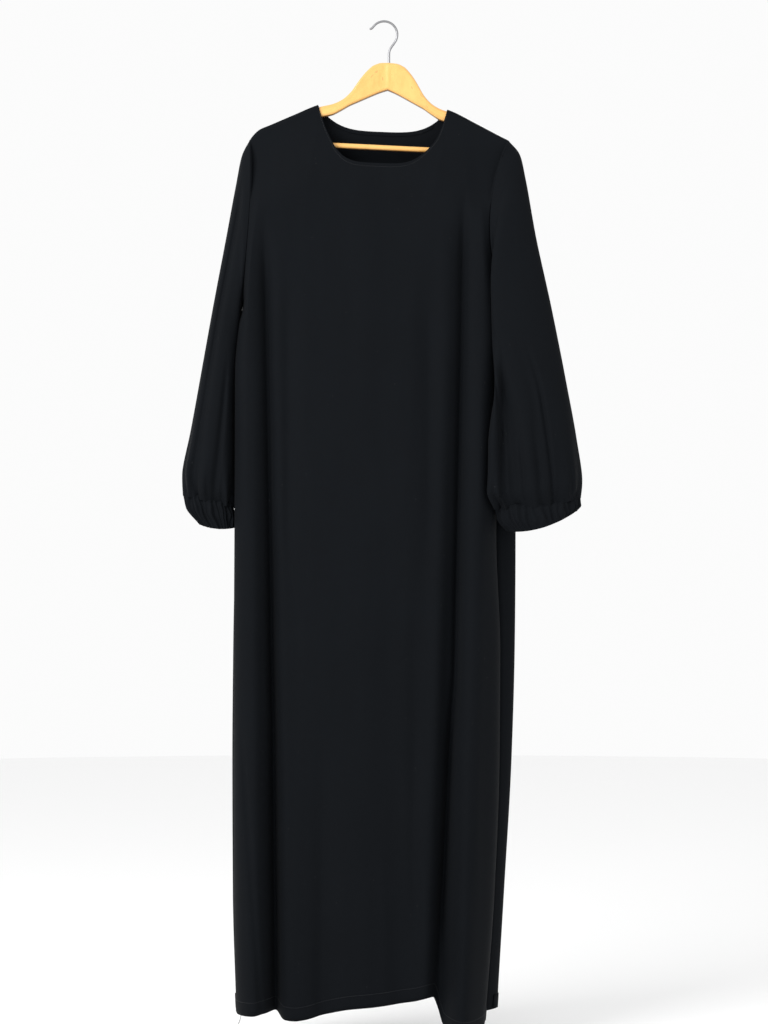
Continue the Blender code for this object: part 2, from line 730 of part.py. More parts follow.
def arm_ring(across, corner_steps=3):
    """A section of the hanger's wood at one place: a rounded rectangle, square to its length."""
    reach = abs(across)
    top = float(np.interp(reach, [row.reach for row in ARM], [row.top for row in ARM]))
    bottom = float(np.interp(reach, [row.reach for row in ARM], [row.bottom for row in ARM]))
    thin = 0.72 if reach >= ARM[-1].reach else 1.0
    half = ARM_HALF_THICKNESS * thin
    rounding = ARM_ROUNDING * thin
    corners = (
        (half - rounding, top + rounding, 0.0),
        (half - rounding, bottom - rounding, 90.0),
        (rounding - half, bottom - rounding, 180.0),
        (rounding - half, top + rounding, 270.0),
    )
    points = []
    for y, down, start in corners:
        for step in range(corner_steps + 1):
            turn = math.radians(start + 90.0 * step / corner_steps)
            x, drop = on_hanger(across, down - rounding * math.cos(turn))
            points.append([x, y + rounding * math.sin(turn), -drop])
    return points


def make_hanger_arms(finish):
    """Both arms in one piece, bent slightly forward from the middle, with the sockets cut in."""
    reaches = [row.reach for row in ARM]
    places = [-reach for reach in reversed(reaches[1:])] + reaches
    shape = bmesh.new()
    rings = [[shape.verts.new(point) for point in placed(arm_ring(place))] for place in places]
    for first, second in zip(rings[:-1], rings[1:]):
        for index in range(len(first)):
            after = (index + 1) % len(first)
            shape.faces.new([first[index], first[after], second[after], second[index]])
    shape.faces.new(rings[0])
    shape.faces.new(rings[-1])
    arms = finished("hanger_arms", shape)
    arms.data.materials.append(finish)
    for side in (-1, 1):
        inner = bar_point(side * (BAR_REACH - BAR_SOCKET))
        outer = bar_point(side * (BAR_REACH + FIT))
        name = "bar_socket_left" if side < 0 else "bar_socket_right"
        cut(arms, make_cutter(name, inner, outer, (BAR_RADIUS + FIT) * MM))
    top = Vector((PEAK_X, 0.0, -(PEAK_DROP - SHANK_DEPTH))) * MM
    bottom = Vector((PEAK_X, 0.0, -(PEAK_DROP + SHANK_DEPTH))) * MM
    cut(arms, make_cutter("shank_bore", top, bottom, BORE_RADIUS * MM))


def bar_point(across):
    """A point on the bar's axis, in metres. The bar is straight, as far forward as the arms' ends."""
    x, drop = on_hanger(across, BAR_DOWN)
    end = on_hanger(BAR_REACH - BAR_SOCKET / 2, BAR_DOWN)
    return Vector((x, forward(*end), -drop)) * MM


def make_hanger_bar(finish):
    bar = make_cutter("hanger_bar", bar_point(-BAR_REACH), bar_point(BAR_REACH), BAR_RADIUS * MM)
    bar.hide_render = False
    bar.display_type = "TEXTURED"
    bar.data.shade_smooth()
    bar.data.set_sharp_from_angle(angle=math.radians(50))
    bar.data.materials.append(finish)


def hook_points():
    """The wire's centre line: a short flick, most of a circle, a reverse curve and the shank."""
    centre_drop = HOOK_RADIUS - WIRE_RADIUS
    points = [(-24.0, 10.8), (-21.2, 10.4)]
    for step in range(19):
        turn = math.radians(143.0 - (143.0 + 33.0) * step / 18)
        points.append((HOOK_RADIUS * math.cos(turn), centre_drop - HOOK_RADIUS * math.sin(turn)))
    start = points[-1]
    lean = math.radians(33.0)
    pull = 13.0
    controls = (
        start,
        (start[0] - pull * math.sin(lean), start[1] + pull * math.cos(lean)),
        (PEAK_X, 44.0),
        (PEAK_X, 55.0),
    )
    for step in range(1, 8):
        t = step / 7
        weights = ((1 - t) ** 3, 3 * t * (1 - t) ** 2, 3 * t * t * (1 - t), t ** 3)
        points.append(tuple(sum(w * c[i] for w, c in zip(weights, controls)) for i in (0, 1)))
    points.append((PEAK_X, PEAK_DROP + SHANK_DEPTH - FIT))
    return points


def make_hook(finish):
    curve = bpy.data.curves.new("hanger_hook", "CURVE")
    curve.dimensions = "3D"
    curve.bevel_depth = WIRE_RADIUS * MM
    curve.bevel_resolution = 2
    curve.use_fill_caps = True
    spline = curve.splines.new("POLY")
    points = hook_points()
    spline.points.add(len(points) - 1)
    for point, (x, drop) in zip(spline.points, points):
        point.co = (x * MM, 0.0, -drop * MM, 1.0)
    hook = bpy.data.objects.new("hanger_hook", curve)
    bpy.context.scene.collection.objects.link(hook)
    curve.materials.append(finish)


def main():
    for old in list(bpy.data.objects):
        bpy.data.objects.remove(old)
    cloth = material("black crepe", (0.010, 0.011, 0.013), 0.8)
    wood = material("lacquered wood", (0.80, 0.50, 0.20), 0.35)
    chrome = material("chrome", (0.72, 0.72, 0.73), 0.15, 1.0)

    front = make_panel("front", -1, FRONT_GUIDES, FRONT_COLUMNS, FRONT_SIDE_COLUMNS,
                       FRONT_FOLDS, FRONT_HEM, cloth)[0]
    back, back_inner = make_panel("back", 1, BACK_GUIDES, BACK_COLUMNS, BACK_SIDE_COLUMNS,
                                  BACK_FOLDS, BACK_HEM, cloth)
    panels = {-1: front, 1: back}
    make_neck_band(back_inner, cloth)
    make_sleeve("left_sleeve", -1, LEFT_SLEEVE, LEFT_SLEEVE_FOLDS, panels, cloth)
    make_sleeve("right_sleeve", 1, RIGHT_SLEEVE, RIGHT_SLEEVE_FOLDS, panels, cloth)
    make_cuff("left_cuff", LEFT_CUFF, cloth)
    make_cuff("right_cuff", RIGHT_CUFF, cloth)
    make_hanger_arms(wood)
    make_hanger_bar(wood)
    make_hook(chrome)


main()
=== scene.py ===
"""The looks of a long black abaya with balloon sleeves that hangs on a wooden clothes hanger.

Tables and forms are in millimetres, and MM turns them into metres. X points to the right of someone
who looks at the front, -Y to that person, and +Z up. The origin is the inside top of the hanger's
hook, and a drop is how far a point lies below it. The forms are the solids' own on finer grids, but
some rows of the left sleeve, its cuff and the body's left side are moved a few millimetres. Narrow
creases, small pleats, hems, stitches and loose threads are only here.
"""

import math
from collections import namedtuple
from functools import lru_cache

import bmesh
import bpy
import numpy as np
from bpy.props import FloatProperty, FloatVectorProperty, PointerProperty
from mathutils import Matrix, Vector, noise

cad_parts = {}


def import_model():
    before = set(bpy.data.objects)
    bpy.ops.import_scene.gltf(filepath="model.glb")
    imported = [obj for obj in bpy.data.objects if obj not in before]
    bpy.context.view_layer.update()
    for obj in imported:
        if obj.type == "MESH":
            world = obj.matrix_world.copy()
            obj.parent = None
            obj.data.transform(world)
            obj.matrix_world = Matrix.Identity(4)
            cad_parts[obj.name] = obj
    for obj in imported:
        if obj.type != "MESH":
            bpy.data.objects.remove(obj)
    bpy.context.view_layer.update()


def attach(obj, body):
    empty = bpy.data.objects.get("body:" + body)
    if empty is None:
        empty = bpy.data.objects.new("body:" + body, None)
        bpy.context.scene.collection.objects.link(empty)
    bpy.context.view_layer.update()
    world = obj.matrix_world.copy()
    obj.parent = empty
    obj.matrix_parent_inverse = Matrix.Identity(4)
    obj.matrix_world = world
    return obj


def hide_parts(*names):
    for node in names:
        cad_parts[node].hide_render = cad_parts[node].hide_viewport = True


bl_info = {
    "name": "Abaya on a clothes hanger",
    "version": (1, 0, 0),
    "blender": (4, 5, 0),
    "location": "3D View > Sidebar > Abaya",
    "description": "Builds the cloth, seams and hanger of a long abaya around its solids",
    "category": "Object",
}

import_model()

MM = 0.001

# Clearances of the cloth
SEAM_GAP = 0.3
ARMHOLE_GAP = 0.6
SLEEVE_CLEARANCE = 3.0
SLEEVE_SQUEEZE = 0.55
SLEEVE_REACH = 9.0

# Hanger, which leans to the right
TILT = math.radians(2.8)
PEAK_X = 8.3
PEAK_DROP = 67.2
ARM_HALF_THICKNESS = 7.0
ARM_ROUNDING = 5.6
SWEEP = 12.0
SWEEP_REACH = 215.0
SWEEP_POWER = 1.2
SWEEP_FADE_FROM = 230.0
SWEEP_FADE_LENGTH = 420.0
BAR_RADIUS = 4.7
BAR_DOWN = 142.5
BAR_REACH = 190.0
BAR_SOCKET = 24.0
BAR_TAPER = 0.012

# Hook
WIRE_RADIUS = 1.9
HOOK_RADIUS = 22.0
SHANK_DEPTH = 15.0
SHANK_TOP = 55.0
HOOK_START_TURN = 146.0
HOOK_LEAN = 33.0
HOOK_PULL = 13.0
FLICK = ((-24.0, 10.8), (-23.6, 10.75), (-22.8, 10.65), (-21.9, 10.5), (-21.0, 10.2), (-20.1, 9.8))
FLICK_TAPERS = (0.55, 0.82, 0.96)

# Outline of one hanger arm, from the middle outwards
ArmRow = namedtuple("ArmRow", "reach top bottom")
ARM = (
    ArmRow(0.0, 0.0, 46.5),
    ArmRow(12.0, 0.7, 51.0),
    ArmRow(25.0, 5.4, 57.0),
    ArmRow(35.0, 14.5, 62.0),
    ArmRow(45.0, 27.0, 67.0),
    ArmRow(52.0, 38.0, 70.5),
    ArmRow(61.0, 52.0, 75.0),
    ArmRow(75.0, 65.6, 84.0),
    ArmRow(90.0, 73.3, 92.4),
    ArmRow(112.0, 79.8, 98.4),
    ArmRow(150.0, 97.8, 122.8),
    ArmRow(188.0, 116.2, 151.7),
    ArmRow(197.0, 120.7, 152.7),
    ArmRow(202.0, 127.7, 146.7),
)
# Where the shoulder seam lies over the arm and falls past its end
ShoulderRow = namedtuple("ShoulderRow", "reach down")
SHOULDER = (
    ShoulderRow(95.0, 70.8),
    ShoulderRow(112.0, 76.4),
    ShoulderRow(150.0, 94.5),
    ShoulderRow(190.0, 114.0),
    ShoulderRow(207.0, 122.2),
    ShoulderRow(216.0, 130.2),
    ShoulderRow(224.0, 141.0),
    ShoulderRow(230.0, 154.0),
)
LEFT_NECK = -111.0
RIGHT_NECK = 103.0
LEFT_SHOULDER = -224.0
RIGHT_SHOULDER = 204.0
ARM_WRAP = 9.4
ARM_WRAP_POWER = 3.0
EDGE_DROP = 9.0
DRAPE_DROP = 150.0

# Neckline
FRONT_NECK_DEPTH = 95.0
FRONT_NECK_POWER = 4.2
BACK_NECK_DEPTH = 38.5
BACK_NECK_POWER = 3.7
NECK_STEPS_DOWN = (0.0, 1.0, 3.4, 9.5)
NECK_BAND_WIDTH = 6.5

# Armholes
UNDERARM_DROP = 472.0
ARMHOLE_DEPTH = 34.0
ARMHOLE_POWER = 2.3
Armhole = namedtuple("Armhole", "underarm_x front_bow back_bow")
ARMHOLES = {
    -1: Armhole(-235.0, 6.0, 4.0),
    1: Armhole(203.0, 31.0, 8.0),
}

# Side edges and depth of the hanging body, below the underarm
BodyRow = namedtuple("BodyRow", "drop front_left front_right back_left back_right front back")
BODY = (
    BodyRow(190, -229, 206, -229, 206, 36, 28),
    BodyRow(472, -235, 203, -235, 203, 44, 34),
    BodyRow(505, -243.5, 200, -243.5, 205, 45, 35),
    BodyRow(585, -250, 192, -250, 214, 46, 36),
    BodyRow(700, -250.5, 190, -251, 224, 48, 38),
    BodyRow(850, -251, 190, -252, 229, 50, 40),
    BodyRow(1040, -252, 197, -256, 227, 54, 42),
    BodyRow(1220, -252, 196, -258, 221, 58, 44),
    BodyRow(1450, -251, 187, -257, 206, 64, 46),
    BodyRow(1600, -248, 176, -252, 196, 68, 48),
    BodyRow(1680, -245, 169, -248, 191, 69, 48),
)
SIDE_TUCK = 7.0
SIDE_TUCK_LENGTH = 120.0
SIDE_TUCK_FADE = 2.2
# The sides turn round from a little above the underarm
ROUNDING_ABOVE = 60.0
ROUNDING_LENGTH = 160.0

# Folds that run down a panel; negative depths are troughs, positive ones are ridges
Fold = namedtuple("Fold", "x_top x_bottom top bottom width depth_top depth_bottom")
FRONT_FOLDS = (
    Fold(-198, -178, 300, 1660, 15, -9, -30),
    Fold(-158, -152, 380, 1300, 20, -5, -4),
    Fold(-100, -98, 1100, 1660, 24, 0, -9),
    Fold(-30, -34, 260, 900, 26, 3, 0),
    Fold(76, 64, 380, 1350, 22, -5, -6),
    Fold(20, 30, 700, 1660, 45, 0, -14),
    Fold(134, 92, 250, 1660, 17, -8, -32),
    Fold(160, 128, 480, 1660, 24, 3, 20),
    Fold(-215, -212, 700, 1660, 14, 2, 10),
)
BACK_FOLDS = (
    Fold(-176, -190, 330, 1660, 18, -7, -24),
    Fold(-92, -104, 420, 1660, 26, -4, -12),
    Fold(-30, -20, 300, 1660, 30, 2, 8),
    Fold(52, 64, 520, 1660, 22, -4, -16),
    Fold(150, 138, 340, 1660, 20, -8, -26),
)
FOLD_FADE = 160.0
FOLD_REACH = 3.0
SIDE_FOLD_SHARE = 0.3

# Hem of each panel, from its left side to its right side
HemPoint = namedtuple("HemPoint", "across drop")
FRONT_HEM = (
    HemPoint(0.0, 1639),
    HemPoint(0.12, 1638),
    HemPoint(0.21, 1634),
    HemPoint(0.26, 1646),
    HemPoint(0.32, 1647),
    HemPoint(0.45, 1628),
    HemPoint(0.55, 1623),
    HemPoint(0.65, 1617),
    HemPoint(0.75, 1610),
    HemPoint(0.81, 1662),
    HemPoint(0.90, 1668),
    HemPoint(0.96, 1662),
    HemPoint(1.0, 1641),
)
BACK_HEM = (
    HemPoint(0.0, 1639),
    HemPoint(0.2, 1635),
    HemPoint(0.5, 1616),
    HemPoint(0.7, 1610),
    HemPoint(0.85, 1630),
    HemPoint(1.0, 1641),
)

# Guide columns of a panel: how far each lies from the panel's left side, at the shoulder and below
Guide = namedtuple("Guide", "column shoulder chest hem")
FRONT_GUIDES = (
    Guide(5, -196.0, -224.0, -222.0),
    Guide(9, -160.0, -196.0, -178.0),
    Guide(14, LEFT_NECK, -150.0, -140.0),
    Guide(21, 0.0, -18.0, -20.0),
    Guide(28, RIGHT_NECK, 84.0, 50.0),
    Guide(33, 150.0, 130.0, 92.0),
    Guide(37, 184.0, 162.0, 128.0),
)
FRONT_COLUMNS = 42
FRONT_SIDE_COLUMNS = 5
BACK_GUIDES = (
    Guide(4, -196.0, -222.0, -224.0),
    Guide(7, -160.0, -178.0, -190.0),
    Guide(10, LEFT_NECK, -130.0, -136.0),
    Guide(17, 0.0, -18.0, -22.0),
    Guide(24, RIGHT_NECK, 90.0, 88.0),
    Guide(27, 150.0, 148.0, 138.0),
    Guide(30, 184.0, 186.0, 172.0),
)
BACK_COLUMNS = 34
BACK_SIDE_COLUMNS = 4
GUIDE_SHIFT_DROP = 330.0
CHEST_DROP = 520.0
HEM_DROP = 1650.0

# How far each row of a panel lies below its top edge
PANEL_ROWS = (0, 1, 3.4, 9.5, 24, 52, 90, 130, 175, 225, 275, 330, 400, 480, 570,
              665, 765, 865, 965, 1065, 1165, 1260, 1340, 1400, 1450)
ROW_SPAN = 1450.0

# Sleeve rings below the armhole, down to the cuff: the outer and inner edge as seen from the front,
# the depth, how far the front rolls over the body, and how far the middle of a ring sags
Ring = namedtuple("Ring", "outer_x outer_drop inner_x inner_drop y front back roll sag")
LEFT_SLEEVE = (
    Ring(-235, 222, -238, 494, 1, 35, 33, 5, 0),
    Ring(-246, 275, -240.5, 532, 3, 34, 32, 4, 0),
    Ring(-261, 355, -244.5, 580, 3, 33, 31, 2, 0),
    Ring(-283, 470, -247, 640, 1, 34, 31, 0, 0),
    Ring(-303, 580, -247.5, 700, -1, 37, 32, 0, 0),
    Ring(-320, 676, -248, 748, -2, 39, 33, 0, 0),
    Ring(-333, 750, -248.5, 783, -2, 37, 31, 0, 0),
    Ring(-331, 786, -250, 806, -2, 27, 24, 0, 0),
)
RIGHT_SLEEVE = (
    Ring(225, 222, 207, 498, -4, 38, 32, 34, 0),
    Ring(235, 268, 204, 540, -14, 38, 30, 42, 0),
    Ring(250, 355, 192, 592, -23, 35, 26, 36, 0),
    Ring(276, 475, 177, 648, -30, 33, 23, 14, 0),
    Ring(299, 590, 171, 704, -32, 35, 24, 0, 0),
    Ring(316, 685, 171, 748, -33, 38, 27, 0, 1),
    Ring(325, 757, 171, 778, -33, 37, 27, 0, 4),
    Ring(322, 790, 184, 808, -31, 28, 22, 0, 7),
)
BACK_BOW_FADE = 2.0
AROUND_BODY_RINGS = 3.5
FRONT_ROLL_RING = 0.5
FULL_SLEEVE_RING = 4.0
SLEEVE_GATHERS = 8
SLEEVE_GATHER_DEPTH = 3.2
GATHER_FROM_RING = 5.0
SLEEVE_GATHER_TURN = 0.6
SLEEVE_FOLD_RISE = 1.5
SLEEVE_FOLD_END = 1.2
SQUEEZE_RISE = 1.2

# Long soft troughs down a sleeve, by their place across its front or back
SleeveFold = namedtuple("SleeveFold", "face across first last width depth")
LEFT_SLEEVE_FOLDS = (
    SleeveFold(-1, 0.55, 0.6, 7.0, 0.16, 6.0),
    SleeveFold(-1, -0.25, 3.5, 8.0, 0.14, 5.0),
    SleeveFold(1, 0.1, 1.0, 8.0, 0.18, 6.0),
)
RIGHT_SLEEVE_FOLDS = (
    SleeveFold(-1, -0.42, 0.6, 8.0, 0.17, 10.0),
    SleeveFold(-1, 0.15, 3.6, 8.0, 0.13, 5.0),
    SleeveFold(1, 0.35, 1.0, 8.0, 0.18, 6.0),
)

# Cuffs: the outer and inner ends of the upper and lower edge, the depth and the sag
Cuff = namedtuple("Cuff", "outer_x outer_drop inner_x inner_drop y front back sag")
LEFT_CUFF = (
    Cuff(-331, 786, -250, 806, -2, 25, 22, 0),
    Cuff(-325, 807, -248, 823, -3, 25, 22, 0),
    Cuff(-304, 834, -248, 839, -4, 21, 18, 4),
)
RIGHT_CUFF = (
    Cuff(322, 790, 184, 808, -31, 26, 20, 7),
    Cuff(322, 802, 190, 828, -32, 26, 20, 9),
    Cuff(316, 812, 205, 845, -32, 22, 16, 10),
)
CUFF_GATHERS = 12
CUFF_GATHER_DEPTH = 2.2
CUFF_GAP = 0.5
RING_POWER = 2.3

# Sheets of the garment, with the number of grid cells across and down
Panel = namedtuple("Panel", "name face guides columns side_columns folds creases hem grid flat area")
Sleeve = namedtuple("Sleeve", "name side rings folds creases flat area")
CuffPiece = namedtuple("CuffPiece", "name rows pleats pleat_depth flat")
Pleat = namedtuple("Pleat", "turn length width depth")

# Creases are narrower than the folds that the solids have. The two long ones beside the rolls are deep.
FRONT_CREASES = (
    Fold(-31, -31, 290, 420, 6, -2.4, -1.2),
    Fold(-237, -200, 1130, 1660, 5, -2.5, -4.0),
    Fold(-160, -170, 1050, 1660, 9, 0, 4.0),
    Fold(-100, -104, 1150, 1660, 11, -1.0, -5.0),
    Fold(48, 52, 900, 1580, 10, -1.0, -4.5),
    Fold(133, 117, 260, 1200, 6.5, -7.0, -19.0),
    Fold(119, 88, 1040, 1600, 6.5, -19.0, -12.0),
    Fold(76, 76, 400, 940, 10, -1.5, -4.0),
    Fold(-158, -158, 380, 940, 10, -1.5, -4.0),
    Fold(-197, -183, 310, 1200, 6.5, -7.0, -19.0),
    Fold(-184, -178, 1040, 1660, 6.5, -19.0, -12.0),
    Fold(-10, 8, 1200, 1660, 14, 0, 2.5),
    Fold(165, 150, 600, 1500, 7, 1.0, 2.0),
)
BACK_CREASES = (
    Fold(-140, -150, 420, 1500, 10, -1.0, -2.6),
    Fold(-60, -64, 700, 1660, 12, 0.8, 3.0),
    Fold(20, 24, 380, 1300, 9, -0.8, -2.0),
    Fold(96, 104, 560, 1660, 11, 0.5, 3.2),
    Fold(186, 176, 700, 1660, 8, -0.5, -2.4),
)
FRONT = Panel("front", -1, FRONT_GUIDES, FRONT_COLUMNS, FRONT_SIDE_COLUMNS,
              FRONT_FOLDS, FRONT_CREASES, FRONT_HEM, (152, 268), (0.66, 1.53), 0.86)
BACK = Panel("back", 1, BACK_GUIDES, BACK_COLUMNS, BACK_SIDE_COLUMNS,
             BACK_FOLDS, BACK_CREASES, BACK_HEM, (128, 230), (0.62, 1.53), 0.84)

# Where creases begin below the top edge, and the waves and depths of hung cloth's unevenness
CREASE_START = 12.0
CREASE_FADE = 60.0
UNEVEN_ACROSS = 46.0
UNEVEN_DOWN = 260.0
UNEVEN_BROAD = 1.1
UNEVEN_SMALL = 0.5
UNEVEN_STEP = 2.3

# Small pleats that run up from a cuff into the sleeve: where round the ring, how many rings up,
# how wide in radians and how deep
PLEATS = (
    Pleat(0.35, 1.1, 0.075, -2.6),
    Pleat(0.62, 1.9, 0.10, -3.4),
    Pleat(0.88, 0.9, 0.07, -2.2),
    Pleat(1.12, 2.4, 0.11, -3.8),
    Pleat(1.42, 1.2, 0.08, -3.0),
    Pleat(1.66, 2.9, 0.12, -4.2),
    Pleat(1.95, 1.0, 0.07, -2.6),
    Pleat(2.18, 1.9, 0.10, -3.6),
    Pleat(2.45, 1.3, 0.08, -2.8),
    Pleat(2.75, 2.1, 0.10, -3.2),
    Pleat(3.30, 1.4, 0.09, -2.8),
    Pleat(3.62, 2.3, 0.11, -3.4),
    Pleat(3.96, 1.1, 0.08, -2.4),
    Pleat(4.30, 2.0, 0.10, -3.6),
    Pleat(4.70, 1.3, 0.09, -2.8),
    Pleat(5.05, 2.5, 0.12, -3.8),
    Pleat(5.45, 1.2, 0.08, -2.6),
    Pleat(5.80, 1.8, 0.10, -3.0),
)
LEFT_SLEEVE_CREASES = (
    SleeveFold(-1, -0.50, 6.0, 8.0, 0.09, 4.5),
    SleeveFold(-1, 0.02, 6.2, 8.0, 0.08, 4.0),
    SleeveFold(-1, 0.38, 6.5, 8.0, 0.06, 3.5),
    SleeveFold(1, -0.45, 2.0, 7.5, 0.10, 2.8),
)
RIGHT_SLEEVE_CREASES = (
    SleeveFold(-1, -0.62, 1.6, 8.0, 0.07, 6.0),
    SleeveFold(-1, -0.20, 4.6, 7.4, 0.05, 4.5),
    SleeveFold(-1, 0.06, 5.0, 8.0, 0.045, 5.5),
    SleeveFold(-1, 0.31, 3.8, 8.0, 0.05, 6.0),
    SleeveFold(-1, 0.74, 5.8, 7.4, 0.05, 4.0),
    SleeveFold(1, -0.30, 2.4, 8.0, 0.10, 3.0),
)
LEFT = Sleeve("left_sleeve", -1, LEFT_SLEEVE, LEFT_SLEEVE_FOLDS, LEFT_SLEEVE_CREASES, (0.36, 0.60), 0.12)
RIGHT = Sleeve("right_sleeve", 1, RIGHT_SLEEVE, RIGHT_SLEEVE_FOLDS, RIGHT_SLEEVE_CREASES,
               (0.42, 0.60), 0.17)
LEFT_CUFF_PIECE = CuffPiece("left_cuff", LEFT_CUFF, 31, 1.5, (0.30, 0.035))
RIGHT_CUFF_PIECE = CuffPiece("right_cuff", RIGHT_CUFF, 37, 1.6, (0.42, 0.035))

# The casing's seam allowance: how many rows, how far up and how far inside the sleeve
CUFF_TUCK_ROWS = 0.5
CUFF_TUCK_UP = 9.0
CUFF_TUCK_IN = 6.0

# Fine pleats of a casing: how far they wander, and how much flatter they are at its edges
PLEAT_WANDER = 1.6
PLEAT_WANDER_STEP = 2.2
PLEAT_WANDER_DOWN = 0.35
PLEAT_WANDER_SHARE = 2.4
PLEAT_EDGE_LOSS = 0.35
CUFF_SWELL = 0.2

# Grid cells round or across a piece and along it, and the angles past which an edge stays sharp
ARM_CORNER_STEPS = 8
ARM_GRID = (4 * (ARM_CORNER_STEPS + 1), 168)
BAR_GRID = (40, 24)
SLEEVE_GRID = (192, 132)
CUFF_GRID = (320, 32)
BAND_GRID = (150, 8)
SHARP_WOOD = math.radians(40)
SHARP_WIRE = math.radians(60)
# Drops between which the sleeves lie beside the body
SLEEVE_DROPS = (190.0, 860.0)

# Hem and hanger details that the solids leave out
HEM_GAP = 0.3
HEM_INSET = 0.6
HEM_THICKNESS = 0.6
END_THINNING = 0.72
JOINT_RIDGE = 0.8
JOINT_WIDTH = 4.0

# Topstitching: how far it stays from the ends of its seam, and how far below the hem's top edge
NECK_STITCH_INSET = 2.2
HEM_STITCH_INSET = 1.2
HEM_STITCH_DOWN = 2.0
STITCH_FLATNESS = 2.6

# The neck band is a strip turned in half, so half of its cut shows
BAND_SHOWN = (0.2, 0.0065)
BAND_INSET = 4
BAND_TOP = 0.8
BAND_THICKNESS = 0.8

# Loose threads, by their column of the front, with the share of each that is inside the hem
LooseThread = namedtuple("LooseThread", "name column length lean")
LOOSE_THREADS = (
    LooseThread("loose_thread_left", 3.2, 22.0, -3.5),
    LooseThread("loose_thread_right", 40.6, 20.0, 1.5),
)
THREAD_RADIUS = 0.4
THREAD_STEPS = 24
THREAD_INSIDE = 0.15

# Stage
FLOOR_DROP = -1.70
FLOOR_RADIUS = 6.0
AIM = Vector((0.0, 0.0, -0.8))
FRAME_HEIGHT = 1.70
FRAME_MIDDLE = -0.8126
Lamp = namedtuple("Lamp", "name place size power_setting")
LAMPS = (
    Lamp("key", (-1.6, -1.7, 0.5), 1.4, "key_power"),
    Lamp("fill", (1.9, -1.3, -0.4), 1.6, "fill_power"),
)


# Settings


def colour_setting(name, description, default):
    return FloatVectorProperty(
        name=name, description=description, default=default, subtype="COLOR", size=3, min=0.0, max=1.0
    )


def amount_setting(name, description, default):
    return FloatProperty(name=name, description=description, default=default, min=0.0, max=4.0)


def length_setting(name, description, default):
    """A size in millimetres, as the tables are."""
    return FloatProperty(name=name + " (mm)", description=description, default=default, min=0.0)


class AbayaClothSettings(bpy.types.PropertyGroup):
    colour: colour_setting("Cloth", "Colour of the crepe in its troughs", (0.0030, 0.0037, 0.0048))
    shade_range: amount_setting("Shade range", "How much paler the palest part of the cloth is", 1.5)
    lint_colour: colour_setting("Lint", "Colour of specks of lint on the cloth", (0.06, 0.06, 0.062))
    roughness: amount_setting("Roughness", "Roughness of the crepe", 0.78)
    gloss: amount_setting("Gloss", "How strongly the cloth mirrors light", 0.05)
    sheen: amount_setting("Sheen", "Soft light on the cloth's raised fibres", 0.01)
    relief: amount_setting("Relief", "Strength of the crepe's grain", 0.35)
    grain: FloatProperty(name="Grain", description="Noise scale of the pebbled surface", default=1100.0)
    yarns: FloatProperty(name="Yarns", description="Wave scale of the weave", default=800.0)
    thickness: length_setting("Cloth", "Thickness of the crepe that shows", 1.1)
    hem_width: length_setting("Hem", "Height of the turned-up hem", 24.0)


class AbayaStitchSettings(bpy.types.PropertyGroup):
    thread_colour: colour_setting("Thread", "Colour of the sewing thread", (0.016, 0.017, 0.02))
    stitch: length_setting("Stitch", "Length of a stitch", 2.4)
    stitch_gap: length_setting("Gap", "Gap between two stitches", 0.7)
    thread_width: length_setting("Thread", "Width of the thread", 0.55)
    neck_stitch_front: length_setting("Front neck", "Stitching below the front neckline", 6.0)
    neck_stitch_back: length_setting("Back neck", "Stitching below the back neckline", 6.5)


class AbayaHangerSettings(bpy.types.PropertyGroup):
    wood_pale: colour_setting("Pale wood", "Colour between the grain lines", (0.80, 0.46, 0.13))
    wood_dark: colour_setting("Grain", "Colour of the grain lines", (0.66, 0.33, 0.075))
    # This dark brown colours the wood's pores, and it is also painted shade on the faces that point down.
    pore_and_painted_underside_shade: colour_setting("Underside", "Stain on the faces that point down", (0.13, 0.055, 0.02))
    grain: FloatProperty(name="Grain lines", description="Lines across a metre", default=900.0)
    chrome_colour: colour_setting("Wire", "Colour of the plated wire", (0.30, 0.30, 0.31))
    chrome_roughness: amount_setting("Wire roughness", "Roughness of the plated wire", 0.38)


class AbayaStageSettings(bpy.types.PropertyGroup):
    floor_colour: colour_setting("Floor", "Colour of the plain floor", (0.92, 0.92, 0.92))
    world_colour: colour_setting("Surroundings", "Colour of the light all round", (1.0, 1.0, 1.0))
    world_strength: amount_setting("Surroundings", "Strength of the light all round", 0.97)
    key_power: FloatProperty(name="Key light", description="Power from the upper left", default=62.0)
    fill_power: FloatProperty(name="Fill light", description="Power from the right", default=6.0)
    distance: FloatProperty(
        name="Camera distance", description="From the camera to the hanger", default=5.0, unit="LENGTH"
    )


# Forms


def smooth(value):
    """Eases a value from 0 to 1."""
    value = min(max(value, 0.0), 1.0)
    return value * value * (3.0 - 2.0 * value)


def mix(first, second, share):
    return first + (second - first) * share


def bump(distance, width):
    """A soft hump, 1 in its middle."""
    return math.exp(-((distance / width) ** 2))


def between(at, places, values):
    """Straight steps between places."""
    return float(np.interp(at, places, values))


@lru_cache(maxsize=None)
def smooth_curve(rows, column, key):
    """Places, values and slopes of a table's column, for the smooth curve through them."""
    places = [getattr(row, key) if key else index for index, row in enumerate(rows)]
    values = [getattr(row, column) for row in rows]
    steps = [
        (values[i + 1] - values[i]) / (places[i + 1] - places[i]) for i in range(len(rows) - 1)
    ]
    inner = [0.0 if a * b <= 0 else 2 * a * b / (a + b) for a, b in zip(steps[:-1], steps[1:])]
    return places, values, [steps[0], *inner, steps[-1]]


def read(rows, at, column, key=None):
    """A column of a table at any place between its rows."""
    places, values, slopes = smooth_curve(rows, column, key)
    at = min(max(at, places[0]), places[-1])
    index = max(i for i, place in enumerate(places[:-1]) if place <= at)
    span = places[index + 1] - places[index]
    t = (at - places[index]) / span
    return (
        values[index] * (1 + 2 * t) * (1 - t) ** 2
        + values[index + 1] * t * t * (3 - 2 * t)
        + span * (slopes[index] * t * (1 - t) ** 2 - slopes[index + 1] * t * t * (1 - t))
    )


